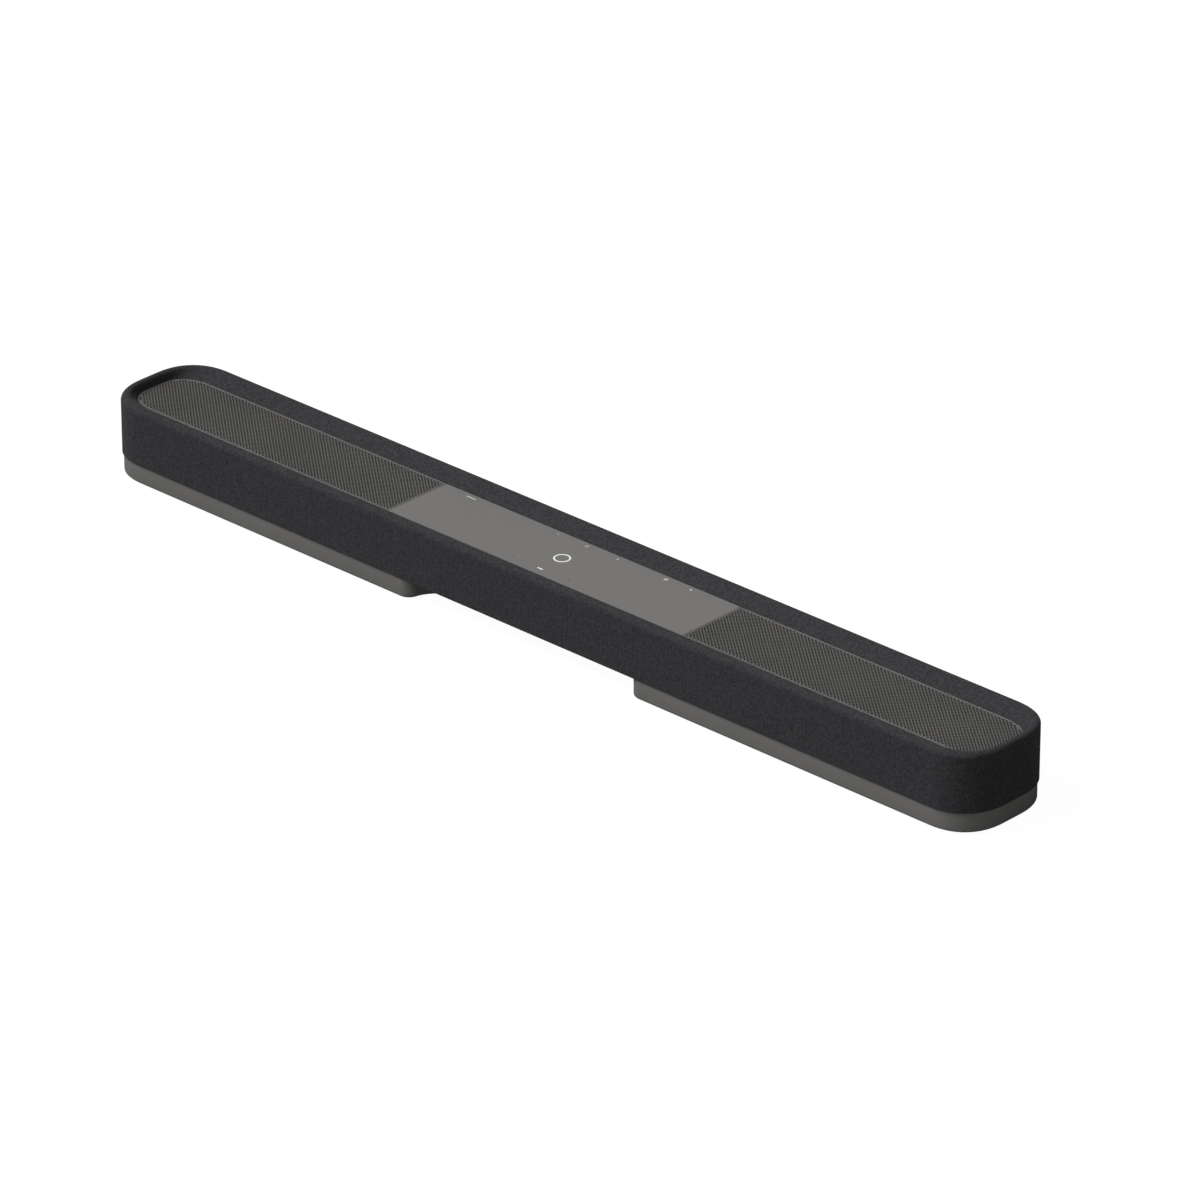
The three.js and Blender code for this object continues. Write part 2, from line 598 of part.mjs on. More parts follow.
// Plate under a grille with the woofer's and the upward driver's openings.
function speakerDeck(side) {
  const [near, far] = [side * DECK_INNER_X, side * DECK_OUTER_X];
  const plate = prism(outline(FRAME_INNER + 2 * GAP), DECK_BOTTOM, DECK_TOP)
    .intersect(box(Math.min(near, far), Math.max(near, far), -DEPTH, DEPTH, 0, HEIGHT));
  const woofer = rod(SEAT_RADIUS - GAP, 0, HEIGHT, WOOFER_STEPS);
  const small = rod(DRIVER_CONE_RADIUS + 1.4, 0, HEIGHT);
  return plate
    .subtract(lifted(woofer, side * WOOFER_X, 0, 0))
    .subtract(lifted(small, side * UP_DRIVER_X, 0, 0));
}

function bulkhead(side) {
  const half = DEPTH / 2 - FRAME_INNER - GAP;
  const x = side * BULKHEAD_X;
  const t = BULKHEAD_THICKNESS / 2;
  return box(x - t, x + t, -half, half, FRAME_BOTTOM, SPEAKER_FACE);
}

// ---- Control panel, lights and circuit boards ---------------------------------------------

const MARK_OUTER = 8;
const MARK_INNER = 6.4;
const MARK_DEPTH = 1.2; // depth of the light-coloured lenses set into the panel
const LIGHT_X = 0;
const LIGHT_Y = -28;
const LIGHT_HALF_LENGTH = 3;
const LIGHT_HALF_WIDTH = 0.8;
const SOUND_HOLES = [[-34, -27], [34, -27], [0, 25]]; // one over each microphone

const markRing = (margin, z0, z1) => turned([
  [MARK_INNER - margin, z0], [MARK_OUTER + margin, z0],
  [MARK_OUTER + margin, z1], [MARK_INNER - margin, z1],
], 32);

const lightBar = (margin, z0, z1) => box(
  LIGHT_X - LIGHT_HALF_LENGTH - margin, LIGHT_X + LIGHT_HALF_LENGTH + margin,
  LIGHT_Y - LIGHT_HALF_WIDTH - margin, LIGHT_Y + LIGHT_HALF_WIDTH + margin, z0, z1);

function controlPanel() {
  const pocket = TOP_LEVEL - MARK_DEPTH;
  const panel = topPiece(-PANEL_HALF, PANEL_HALF)
    .subtract(markRing(0.1, pocket - GAP, HEIGHT))
    .subtract(lightBar(0.1, pocket - GAP, HEIGHT));
  return SOUND_HOLES.reduce(
    (cut, [x, y]) => cut.subtract(lifted(rod(0.7, LEDGE_TOP, HEIGHT, 8), x, y, 0)), panel);
}

function board(x0, x1, y0, y1, z, parts) {
  const plate = box(x0, x1, y0, y1, z, z + BOARD_THICKNESS);
  return parts.reduce((joined, part) => joined.add(part), plate);
}

// A block or a can that stands on a board; it starts inside the board so that they are one body.
const STAND = BOARD_BOTTOM + BOARD_THICKNESS / 2;
const block = (x0, x1, y0, y1, tall) => box(x0, x1, y0, y1, STAND, STAND + tall);
const can = (x, y, radius, tall) => lifted(rod(radius, 0, tall, 14), x, y, STAND);

const powerSupply = () => board(-185, -70, -24, 50, BOARD_BOTTOM, [
  block(-140, -108, -6, 26, 24), can(-168, -8, 9, 26), can(-168, 14, 9, 26), can(-168, 35, 7, 20),
  block(-100, -82, 10, 40, 14), block(-100, -90, -20, 2, 18),
]);

const mainBoard = () => board(-60, 60, -20, 50, BOARD_BOTTOM, [
  block(-24, 8, 4, 36, 4), block(24, 40, 10, 26, 3), block(24, 44, 34, 46, 3),
  can(-44, -6, 4, 9), can(-44, 8, 4, 9), can(46, -8, 4, 9),
]);

const AMPLIFIER_CHIP_TALL = 5;
const amplifierBoard = () => board(70, 185, -24, 50, BOARD_BOTTOM, [
  block(96, 152, 4, 32, AMPLIFIER_CHIP_TALL), can(82, -8, 5, 12), can(82, 8, 5, 12),
  can(172, -8, 5, 12), can(172, 8, 5, 12), block(88, 160, 42, 48, 8),
]);

function heatSink() {
  const foot = STAND + AMPLIFIER_CHIP_TALL + GAP;
  const finPitch = 6;
  const fins = Array.from({ length: 11 }, (_, i) => 94 + i * finPitch);
  return fins.reduce(
    (joined, x) => joined.add(box(x, x + 2, 0, 36, foot + 1.5, foot + 16)),
    box(92, 158, 0, 36, foot, foot + 3));
}

const TOUCH_HALF_Y = DEPTH / 2 - RIM_WIDTH - LEDGE_REACH - 2.5;
const TOUCH_BOTTOM = LEDGE_TOP - BOARD_THICKNESS;
const touchBoard = () =>
  box(-PANEL_HALF + 8, PANEL_HALF - 8, -TOUCH_HALF_Y, TOUCH_HALF_Y, TOUCH_BOTTOM, LEDGE_TOP);

// Flat cable that drops from the touch board to the main board in a shallow S.
function ribbonCable() {
  const top = TOUCH_BOTTOM - GAP;
  const bottom = BOARD_BOTTOM + BOARD_THICKNESS + GAP;
  const steps = 10;
  const side = (shift) => Array.from({ length: steps + 1 }, (_, i) => {
    const along = i / steps;
    return [bottom + (top - bottom) * along, shift + 3 * Math.sin(2 * Math.PI * along)];
  });
  const section = [...side(0), ...side(0.8).reverse()];
  const shape = new THREE.Shape(section.map(([z, y]) => new THREE.Vector2(z, y)));
  const geometry = new THREE.ExtrudeGeometry(shape, { depth: 16, bevelEnabled: false });
  geometry.rotateY(-Math.PI / 2); // the section's first direction becomes up, its depth runs in X
  geometry.translate(-36, -14, 0);
  return solid(geometry);
}

// ---- Assembly -----------------------------------------------------------------------------

const root = new THREE.Group();

function place(name, made, material, parent = root) {
  const mesh = new THREE.Mesh(geometryOf(made), material);
  mesh.name = name;
  parent.add(mesh);
}

// Bases, bridge, pads and sockets
place("left_base", baseTray(-1), greyPlastic());
place("right_base", baseTray(1), greyPlastic());
place("connector_bridge", connectorBridge(), blackPlastic());
for (const [side, sideName] of [[-1, "left"], [1, "right"]]) {
  place(`${sideName}_front_foot_pad`, rubberPad(side * PAD_X, -PAD_Y), rubber());
  place(`${sideName}_back_foot_pad`, rubberPad(side * PAD_X, PAD_Y), rubber());
}
for (const [name, socket] of Object.entries(SOCKETS)) {
  const special = { mains_inlet: mainsInlet, sub_out_socket: subOutSocket };
  place(name, (special[name] ?? socketBlock)(socket), blackPlastic());
}

// Cabinet: plate, straight walls, curved end frames and the cloth over them
place("bottom_plate", bottomPlate(), blackPlastic());
const wholeFrame = withDriverHoles(frameRing());
const far = LENGTH;
const seam = FRAME_END_X;
place("front_wall", wholeFrame.intersect(box(-seam, seam, -far, 0, 0, far)), blackPlastic());
place("back_wall", wholeFrame.intersect(box(-seam, seam, 0, far, 0, far)), blackPlastic());
place("left_end_frame",
  wholeFrame.intersect(box(-far, -seam - GAP, -far, far, 0, far)), blackPlastic());
place("right_end_frame",
  wholeFrame.intersect(box(seam + GAP, far, -far, far, 0, far)), blackPlastic());
place("fabric_cover", fabricCover(), cloth());

// Sunk top
place("left_grille", topPiece(-LENGTH / 2, -PANEL_HALF - TOP_CLEARANCE), greyMetal());
place("right_grille", topPiece(PANEL_HALF + TOP_CLEARANCE, LENGTH / 2), greyMetal());
place("control_panel", controlPanel(), greyPlastic());
place("centre_mark", markRing(0, TOP_LEVEL - MARK_DEPTH, TOP_LEVEL), lens());
place("status_light", lightBar(0, TOP_LEVEL - MARK_DEPTH, TOP_LEVEL), lens());
place("touch_board", touchBoard(), circuit());
place("touch_ribbon_cable", ribbonCable(), greyPlastic());

// Loudspeakers
const wooferPieces = {
  basket: [wooferBasket(), blackPlastic],
  magnet: [wooferMagnet(), steel],
  cone: [wooferCone(), paper],
  surround: [wooferSurround(), rubber],
  spider: [wooferSpider(), paper],
};
for (const [side, sideName] of [[-1, "left"], [1, "right"]]) {
  const woofer = new THREE.Group();
  woofer.position.set(side * WOOFER_X, 0, SPEAKER_FACE);
  root.add(woofer);
  for (const [piece, [made, material]] of Object.entries(wooferPieces)) {
    place(`${sideName}_woofer_${piece}`, made, material(), woofer);
  }
  place(`${sideName}_speaker_deck`, speakerDeck(side), blackPlastic());
  place(`${sideName}_bulkhead`, bulkhead(side), blackPlastic());
}
for (const [name, [direction, x, y, z]] of Object.entries(DRIVERS)) {
  const driver = new THREE.Group();
  driver.position.set(x, y, z);
  driver.quaternion.setFromUnitVectors(UP, direction);
  root.add(driver);
  place(`${name}_frame`, driverFrame(), blackPlastic(), driver);
  place(`${name}_cone`, driverCone(), paper(), driver);
}

// Electronics on the bottom plate
place("power_supply", powerSupply(), circuit());
place("main_board", mainBoard(), circuit());
place("amplifier_board", amplifierBoard(), circuit());
place("heat_sink", heatSink(), steel());

export default root;
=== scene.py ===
# %% [markdown]
# # A soundbar, piece by piece
# The bar is a long cabinet wrapped in knitted cloth, with a sunk top and two low grey bases.
# The engineering model gives every place and size. This lesson adds what the eye sees: fine
# surfaces worked out with numpy, and finishes made of shader nodes.

import json
import math

import bpy
import numpy as np
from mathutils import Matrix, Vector


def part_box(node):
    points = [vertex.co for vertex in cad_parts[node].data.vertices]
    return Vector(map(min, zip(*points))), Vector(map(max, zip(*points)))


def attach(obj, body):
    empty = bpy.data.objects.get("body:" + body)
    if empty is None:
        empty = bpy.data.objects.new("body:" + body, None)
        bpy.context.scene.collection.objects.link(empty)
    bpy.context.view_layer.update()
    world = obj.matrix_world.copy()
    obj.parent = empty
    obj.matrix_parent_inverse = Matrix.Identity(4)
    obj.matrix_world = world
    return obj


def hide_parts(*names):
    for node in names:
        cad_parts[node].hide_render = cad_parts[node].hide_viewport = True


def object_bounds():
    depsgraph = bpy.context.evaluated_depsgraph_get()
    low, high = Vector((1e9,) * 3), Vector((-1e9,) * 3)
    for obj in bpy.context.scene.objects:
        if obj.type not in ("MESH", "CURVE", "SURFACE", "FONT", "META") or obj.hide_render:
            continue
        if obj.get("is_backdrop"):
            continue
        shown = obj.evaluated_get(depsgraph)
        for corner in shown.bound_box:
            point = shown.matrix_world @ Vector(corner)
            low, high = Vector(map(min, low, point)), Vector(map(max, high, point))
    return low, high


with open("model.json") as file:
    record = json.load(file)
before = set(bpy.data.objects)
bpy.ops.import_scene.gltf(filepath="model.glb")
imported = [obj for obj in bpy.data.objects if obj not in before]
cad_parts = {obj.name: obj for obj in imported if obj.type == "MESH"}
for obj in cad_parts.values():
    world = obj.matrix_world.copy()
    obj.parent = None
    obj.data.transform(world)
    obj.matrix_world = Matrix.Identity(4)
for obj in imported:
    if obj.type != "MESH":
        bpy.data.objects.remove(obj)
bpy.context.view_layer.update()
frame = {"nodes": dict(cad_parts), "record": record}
nodes = frame["nodes"]
MM = 0.001

# %% [markdown]
# ## The camera and the room
# A product picture of a long thin object is taken from far away with a long lens, so that the
# far end doesn't shrink. The camera's place is the aim point plus a direction times a distance,
# and the direction comes from two angles: how far round, and how far up.

# %% Camera
CAMERA_ROUND = math.radians(43.272)
CAMERA_UP = math.radians(26.804)
CAMERA_DISTANCE = 6.985852
CAMERA_AIM = Vector((0.026852, 0.020127, 0.030564))
LENS_MM = 237.65

camera_data = bpy.data.cameras.new("camera")
camera = bpy.data.objects.new("camera", camera_data)
bpy.context.scene.collection.objects.link(camera)
towards_camera = Vector((
    math.sin(CAMERA_ROUND) * math.cos(CAMERA_UP),
    -math.cos(CAMERA_ROUND) * math.cos(CAMERA_UP),
    math.sin(CAMERA_UP),
))
camera.location = CAMERA_AIM + towards_camera * CAMERA_DISTANCE
camera.rotation_mode = "QUATERNION"
camera.rotation_quaternion = (-towards_camera).to_track_quat("-Z", "Y")
camera_data.sensor_width = 36.0
camera_data.lens = LENS_MM
camera_data.clip_start, camera_data.clip_end = 0.1, 200.0
bpy.context.scene.camera = camera

# %% [markdown]
# The room is a white studio. Sun lamps with a wide angle light like very large soft boxes, and
# evenly all over the floor. The key comes from the left, the front and above, so that the right
# end of the bar turns dark, as rounded things do when the light comes from one side. A weak fill
# from the right and the front keeps that end from going black. Walls and floor are white to the
# eye but throw little light back, as with black flags beside the set.

# %% Lamps and world
def soft_sun(name, towards, strength, angle):
    """A sun lamp that shines from a direction, softened to an angle in degrees."""
    data = bpy.data.lights.new(name, "SUN")
    data.energy = strength
    data.angle = math.radians(angle)
    lamp = bpy.data.objects.new(name, data)
    bpy.context.scene.collection.objects.link(lamp)
    lamp.rotation_mode = "QUATERNION"
    lamp.rotation_quaternion = (-Vector(towards)).to_track_quat("-Z", "Y")
    return lamp


def seen_and_thrown(tree, seen, thrown):
    """One shader for what the camera sees directly and another for the light thrown back."""
    eye = tree.nodes.new("ShaderNodeLightPath").outputs["Is Camera Ray"]
    mix = tree.nodes.new("ShaderNodeMixShader")
    tree.links.new(eye, mix.inputs[0])
    tree.links.new(thrown, mix.inputs[1])
    tree.links.new(seen, mix.inputs[2])
    return mix.outputs[0]


AMBIENT = 0.23
soft_sun("key_sun", (-0.52, -0.62, 1.0), 3.7, 35.0)
soft_sun("fill_sun", (0.75, -0.65, 0.35), 0.5, 60.0)
world = bpy.data.worlds.new("studio")
world.use_nodes = True
walls = []
for strength in (1.0, AMBIENT):
    wall = world.node_tree.nodes.new("ShaderNodeBackground")
    wall.inputs["Color"].default_value = (1.0, 1.0, 1.0, 1.0)
    wall.inputs["Strength"].default_value = strength
    walls.append(wall.outputs[0])
world.node_tree.links.new(
    seen_and_thrown(world.node_tree, *walls), world.node_tree.nodes["World Output"].inputs[0])
bpy.context.scene.world = world
bpy.context.scene.view_settings.view_transform = "Standard"

# %% [markdown]
# ## Helpers for meshes
# Nearly every piece here is a skin: a stack of closed loops with equal numbers of points, joined
# by four-sided faces. Worked out as whole arrays, it takes a few lines and no loop over points.

# %% Mesh helpers
SMOOTH_LIMIT = math.radians(38)


def add_mesh(name, points, faces, flat_faces=(), uv=None):
    """A mesh object from arrays. If its signed volume, a sixth of the sum of a . (b x c) over
    its triangles, is negative, the faces are turned to point outwards."""
    mesh = bpy.data.meshes.new(name)
    mesh.from_pydata(np.asarray(points, float).tolist(), [], faces)
    if uv is not None:
        layer = mesh.uv_layers.new(name="cloth_metres")
        layer.data.foreach_set("uv", np.asarray(uv, np.float32).ravel())
    mesh.calc_loop_triangles()
    corners = np.empty(len(mesh.loop_triangles) * 3, np.int32)
    mesh.loop_triangles.foreach_get("vertices", corners)
    a, b, c = np.moveaxis(np.asarray(points, float)[corners].reshape(-1, 3, 3), 1, 0)
    if (a * np.cross(b, c)).sum() < 0:
        mesh.flip_normals()
    smooth = np.ones(len(mesh.polygons), bool)
    smooth[list(flat_faces)] = False
    mesh.polygons.foreach_set("use_smooth", smooth)
    mesh.set_sharp_from_angle(angle=SMOOTH_LIMIT)
    mesh.update()
    made = bpy.data.objects.new(name, mesh)
    bpy.context.scene.collection.objects.link(made)
    return made


def skin(name, loops, ring=False, along=None, across=None):
    """Corner (s, i) joins (s, i+1), (s+1, i+1) and (s+1, i). A ring's last loop joins its first;
    otherwise one many-sided face closes each end. along and across give the UV in metres."""
    loops = np.asarray(loops, float)
    sections, around = loops.shape[:2]
    s = np.arange(sections if ring else sections - 1)[:, None]
    i = np.arange(around)[None, :]
    next_s, next_i = (s + 1) % sections, (i + 1) % around
    quads = np.stack(
        [s * around + i, s * around + next_i, next_s * around + next_i, next_s * around + i], -1)
    faces = quads.reshape(-1, 4).tolist()
    caps = []
    if not ring:
        caps = [len(faces), len(faces) + 1]
        last = (sections - 1) * around
        faces += [list(range(around))[::-1], list(range(last, last + around))]
    uv = None
    if along is not None:
        u = np.stack(np.broadcast_arrays(along[i], along[i + 1], along[i + 1], along[i]), -1)
        v = np.stack([across[s], across[s], across[s + 1], across[s + 1]], -1)
        uv = np.stack(np.broadcast_arrays(u, v), -1).reshape(-1, 2)
    return add_mesh(name, loops.reshape(-1, 3), faces, caps, uv)


def raised(outline, level):
    """A flat outline of (x, y) points set at one height."""
    return np.column_stack([outline, np.full(len(outline), level)])


def arc(centre, radius, start, end, steps):
    """Points centre + radius (cos t, sin t) for t from start to end."""
    t = np.linspace(start, end, steps + 1)
    return np.column_stack([centre[0] + radius * np.cos(t), centre[1] + radius * np.sin(t)])


def keep(piece, finish, replaced=(), body="root"):
    """Gives a piece its finish and its body, and hides the nodes that it stands for."""
    piece.data.materials.append(finish)
    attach(piece, body)
    if replaced:
        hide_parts(*replaced)
    return piece

# %% [markdown]
# ## Helpers for finishes
# A finish here is never one flat colour. Two close tones are mixed by soft clouds, the roughness
# wanders a little, and fine grain pushes the surface in and out with a bump. All of it is placed
# by Object coordinates, in metres, so a scale of 1000 means a pattern about a millimetre wide.

# %% Finish helpers
def node(tree, kind, inputs=(), **settings):
    """A shader node with its settings. An input is a number, a colour or another node's output."""
    made = tree.nodes.new("ShaderNode" + kind)
    for key, value in settings.items():
        setattr(made, key, value)
    for key, value in dict(inputs).items():
        if isinstance(value, bpy.types.NodeSocket):
            tree.links.new(value, made.inputs[key])
        else:
            made.inputs[key].default_value = value
    return made


def blank_finish(name, roughness, **sockets):
    """An empty finish: its material, node tree and main shader, with constants on the shader."""
    finish = bpy.data.materials.new(name)
    finish.use_nodes = True
    shader = finish.node_tree.nodes["Principled BSDF"]
    shader.inputs["Roughness"].default_value = roughness
    for key, value in sockets.items():
        shader.inputs[key.replace("_", " ")].default_value = value
    return finish, finish.node_tree, shader


def math_node(tree, operation, a, b=0.0):
    """One step of arithmetic on two values."""
    return node(tree, "Math", {0: a, 1: b}, operation=operation).outputs[0]


def clouds(tree, place, scale, detail=2.0):
    """Soft noise from 0 to 1."""
    inputs = {"Vector": place, "Scale": scale, "Detail": detail}
    return node(tree, "TexNoise", inputs).outputs["Fac"]


def spread(tree, value, low, high, from_low=0.3, from_high=0.7):
    """Stretches a value's middle range onto the range from low to high."""
    inputs = {0: value, 1: from_low, 2: from_high, 3: low, 4: high}
    return node(tree, "MapRange", inputs).outputs[0]


def tones(tree, factor, dark, light):
    """A colour between two tones."""
    inputs = {0: factor, 6: (*dark, 1.0), 7: (*light, 1.0)}
    return node(tree, "Mix", inputs, data_type="RGBA").outputs[2]


def push(tree, shader, height, distance, strength=1.0):
    """Pushes the surface by a height from 0 to 1, at most by distance in metres."""
    inputs = {"Height": height, "Distance": distance, "Strength": strength}
    bump = node(tree, "Bump", inputs)
    tree.links.new(bump.outputs[0], shader.inputs["Normal"])


def grained(name, dark, light, roughness, grain, depth, patches=14.0, **sockets):
    """Clouds mix two tones, a second noise moves the roughness by 0.06, and grain is the bump."""
    finish, tree, shader = blank_finish(name, roughness, **sockets)
    place = node(tree, "TexCoord").outputs["Object"]
    colour = tones(tree, spread(tree, clouds(tree, place, patches), 0.0, 1.0), dark, light)
    tree.links.new(colour, shader.inputs["Base Color"])
    wander = spread(tree, clouds(tree, place, patches * 6), roughness - 0.03, roughness + 0.03)
    tree.links.new(wander, shader.inputs["Roughness"])
    push(tree, shader, clouds(tree, place, grain, 3.0), depth)
    return finish

# %% [markdown]
# ## The cloth
# The cover is a tight blue-black knit, spun from yarns of slightly different darkness. It runs in
# fine upright ribs, which close up to the eye as the cover turns round an end. Each stitch is
# worked out from the cloth's own UV, which is in metres, so that the ribs follow the cover round
# the ends and over the rim.

# %% Knitted cloth
RIB_PITCH = 0.0016
COURSE_PITCH = 0.0013


def knitted_cloth(name, dark, light, sheen):
    """Rib height is |cos(pi u / pitch)|, each row of stitches adds a ripple along v, and a random
    number for each rib and each row gives the yarn its darkness. The same height also darkens the
    colour in the grooves between ribs and rows, as painted shade."""
    finish, tree, shader = blank_finish(
        name, 0.92, Specular_IOR_Level=0.12, Sheen_Weight=sheen, Sheen_Roughness=0.45)
    shader.inputs["Sheen Tint"].default_value = (0.85, 0.86, 0.92, 1.0)
    uv = node(tree, "UVMap", uv_map="cloth_metres").outputs[0]
    parts = node(tree, "SeparateXYZ", {0: uv})
    ribs = math_node(tree, "DIVIDE", parts.outputs[0], RIB_PITCH)
    rows = math_node(tree, "DIVIDE", parts.outputs[1], COURSE_PITCH)
    rib_wave = math_node(
        tree, "ABSOLUTE", math_node(tree, "COSINE", math_node(tree, "MULTIPLY", ribs, math.pi)))
    row_wave = math_node(
        tree, "ABSOLUTE", math_node(tree, "COSINE", math_node(tree, "MULTIPLY", rows, math.pi)))
    stitch = math_node(tree, "MULTIPLY", rib_wave, spread(tree, row_wave, 0.72, 1.0, 0.0, 1.0))
    rib_number = math_node(tree, "FLOOR", math_node(tree, "ADD", ribs, 0.5))
    row_number = math_node(tree, "FLOOR", rows)
    cell = node(tree, "CombineXYZ", {0: rib_number, 1: row_number}).outputs[0]
    yarn = node(tree, "TexWhiteNoise", {"Vector": cell}, noise_dimensions="2D").outputs["Value"]
    drift = clouds(tree, uv, 420.0, 3.0)
    # The colour mixes the yarn's own darkness, a slow drift of tone, and painted shade in the
    # grooves taken from the stitch height.
    yarn_tone_and_groove_shade = math_node(
        tree, "ADD", math_node(tree, "MULTIPLY", yarn, 0.5),
        math_node(tree, "ADD", math_node(tree, "MULTIPLY", stitch, 0.25),
                  math_node(tree, "MULTIPLY", drift, 0.25)))
    tree.links.new(tones(tree, yarn_tone_and_groove_shade, dark, light), shader.inputs["Base Color"])
    fuzz = clouds(tree, node(tree, "TexCoord").outputs["Object"], 2600.0, 2.0)
    height = math_node(tree, "ADD", stitch, math_node(tree, "MULTIPLY", fuzz, 0.5))
    push(tree, shader, height, 0.00022, 0.8)
    return finish


cover_cloth = knitted_cloth("cover_cloth", (0.011, 0.011, 0.0122), (0.046, 0.046, 0.050), 0.05)

# %% [markdown]
# ## The bar's outline
# Seen from above, the bar is a long rectangle with rounded ends, a little fuller than ellipses.
# Every loop of the cloth, the bases and the grilles is this outline moved in by some distance, its
# inset. The rim is narrow at the ends, so an inset can be smaller there than along the sides.

# %% Outline
cover_low, cover_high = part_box("fabric_cover")
HALF_LENGTH, HALF_DEPTH, HEIGHT = cover_high
CORNER_X, CORNER_Y, CORNER_POWER = 47.5 * MM, 49 * MM, 2.35
CORNER_STEPS = 28


def corner(end_inset, side_inset=None):
    """The corner at +x +y: centre plus reach times (cos t, sin t), each to the power 2 / 2.35,
    t from 0 to a quarter turn. The insets shorten the reach along x and along y."""
    side_inset = end_inset if side_inset is None else side_inset
    t = np.linspace(0, math.pi / 2, CORNER_STEPS + 1)
    power = 2 / CORNER_POWER
    x = HALF_LENGTH - CORNER_X + (CORNER_X - end_inset) * np.abs(np.cos(t)) ** power
    y = HALF_DEPTH - CORNER_Y + (CORNER_Y - side_inset) * np.sin(t) ** power
    return np.column_stack([x, y])


def outline(end_inset, side_inset=None):
    """Four mirrored corners in order; the straight runs between them need no points."""
    quarter = corner(end_inset, side_inset)
    back = quarter[::-1]
    return np.concatenate([quarter, back * (-1, 1), quarter * (-1, -1), back * (1, -1)])


quarter_share = np.cos(np.linspace(0, math.pi / 2, CORNER_STEPS + 1)) ** 2
end_share = np.concatenate([quarter_share, quarter_share[::-1]] * 2)
bar_edge = outline(0.0)
print("outline points:", len(bar_edge))

# %% [markdown]
# ## The cloth cover
# One cloth is pulled over the frame: up the wall, over a narrow rounded crest and down a slope to
# the sunk top, where it tucks in beside the metal. A cloth simulation would only relax it, since
# it is glued and stretched all round, so the section is drawn exactly and carried round the
# outline. It turns from the wide section of the sides into the narrow, steep one of the ends. The
# hem under the wall turns in.

# %% Cover section
CREST_RADIUS, END_CREST_RADIUS = 6.0 * MM, 3.8 * MM
RIM_WIDTH, END_RIM_WIDTH = 21.0 * MM, 8.0 * MM
TOP_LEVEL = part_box("control_panel")[1].z
CLOTH_BOTTOM = cover_low.z
CLOTH_THICKNESS = 1.1 * MM
HEM_RADIUS = 0.6 * MM
TUCK_RADIUS = 1.15 * MM  # the turn down beside the metal
TUCK_CENTRE = (1.25 * MM, 0.5 * MM)  # its centre: in from the rim's edge, down from the top
TUCK_END = 1.6 * MM  # how far below the top the cloth ends
WALL_ROWS, CREST_STEPS, SLOPE_STEPS = 7, 18, 6


def cover_line(radius, width):
    """The outer face as (inset, z): a rounded hem, the straight wall, the crest's arc from the
    wall to the angle where the slope leaves it, the slope, and a quarter turn down at the edge."""
    to_edge = (width - radius, TOP_LEVEL - (HEIGHT - radius))
    slope_angle = math.atan2(to_edge[1], to_edge[0]) + math.acos(radius / math.hypot(*to_edge))
    hem = arc((HEM_RADIUS, CLOTH_BOTTOM + HEM_RADIUS), HEM_RADIUS, -math.pi / 2, -math.pi, 5)
    wall_z = np.linspace(CLOTH_BOTTOM + 1.6 * MM, HEIGHT - radius - 1 * MM, WALL_ROWS)
    wall = np.column_stack([np.zeros(WALL_ROWS), wall_z])
    crest = arc((radius, HEIGHT - radius), radius, math.pi, slope_angle, CREST_STEPS)
    share = np.linspace(0.0, 1.0, SLOPE_STEPS + 1)[1:-1, None]
    turn_centre = (width - TUCK_CENTRE[0], TOP_LEVEL - TUCK_CENTRE[1])
    tuck = arc(turn_centre, TUCK_RADIUS, slope_angle, 0.0, 5)
    slope = crest[-1] + (tuck[0] - crest[-1]) * share
    end = [[turn_centre[0] + TUCK_RADIUS, TOP_LEVEL - TUCK_END]]
    return np.concatenate([hem, wall, crest, slope, tuck, end])


def cover_section(radius, width):
    """The outer face, then the inner face back down: each point moved in along the normal."""
    outer = cover_line(radius, width)
    run = np.gradient(outer, axis=0)
    run /= np.linalg.norm(run, axis=1)[:, None]
    inner = outer + np.column_stack([run[:, 1], -run[:, 0]]) * CLOTH_THICKNESS
    inner[:, 1] = np.maximum(inner[:, 1], CLOTH_BOTTOM + 0.3 * MM)
    return np.concatenate([outer, inner[::-1]])


section = cover_section(CREST_RADIUS, RIM_WIDTH)
end_section = cover_section(END_CREST_RADIUS, END_RIM_WIDTH)
cover_loops = [raised(outline(end[0], side[0]), side[1] + (end[1] - side[1]) * end_share)
               for side, end in zip(section, end_section)]
closed_edge = np.concatenate([bar_edge, bar_edge[:1]])
along = np.concatenate([[0.0], np.cumsum(np.linalg.norm(np.diff(closed_edge, axis=0), axis=1))])
closed_section = np.concatenate([section, section[:1]])
across = np.concatenate(
    [[0.0], np.cumsum(np.linalg.norm(np.diff(closed_section, axis=0), axis=1))])
ribs_round = round(along[-1] / RIB_PITCH)
along *= ribs_round * RIB_PITCH / along[-1]
cloth_cover = skin("cloth_cover", cover_loops, ring=True, along=along, across=across)
keep(cloth_cover, cover_cloth, ["fabric_cover"])

# %% [markdown]
# ## The bases
# Two low grey trays carry the bar. Each has the bar's rounded end, a rounded inner corner and a
# hollow curve that runs into the black bridge. The lower edge is rounded so that the bar seems to
# float, and the upper edge is broken slightly to catch a line of light. The shell is lofted from
# one outline moved in step by step.

# %% Base shells
BASE_INSET, BASE_ROUND, BASE_WALL = 1.4 * MM, 3.0 * MM, 2.5 * MM
BASE_INNER_X, BASE_CORNER, BASE_SWEEP = 133 * MM, 12 * MM, 30 * MM
BRIDGE_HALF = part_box("connector_bridge")[1].y
BASE_BOTTOM, BASE_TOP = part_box("left_base")[0].z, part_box("left_base")[1].z
TOP_BREAK = 0.5 * MM

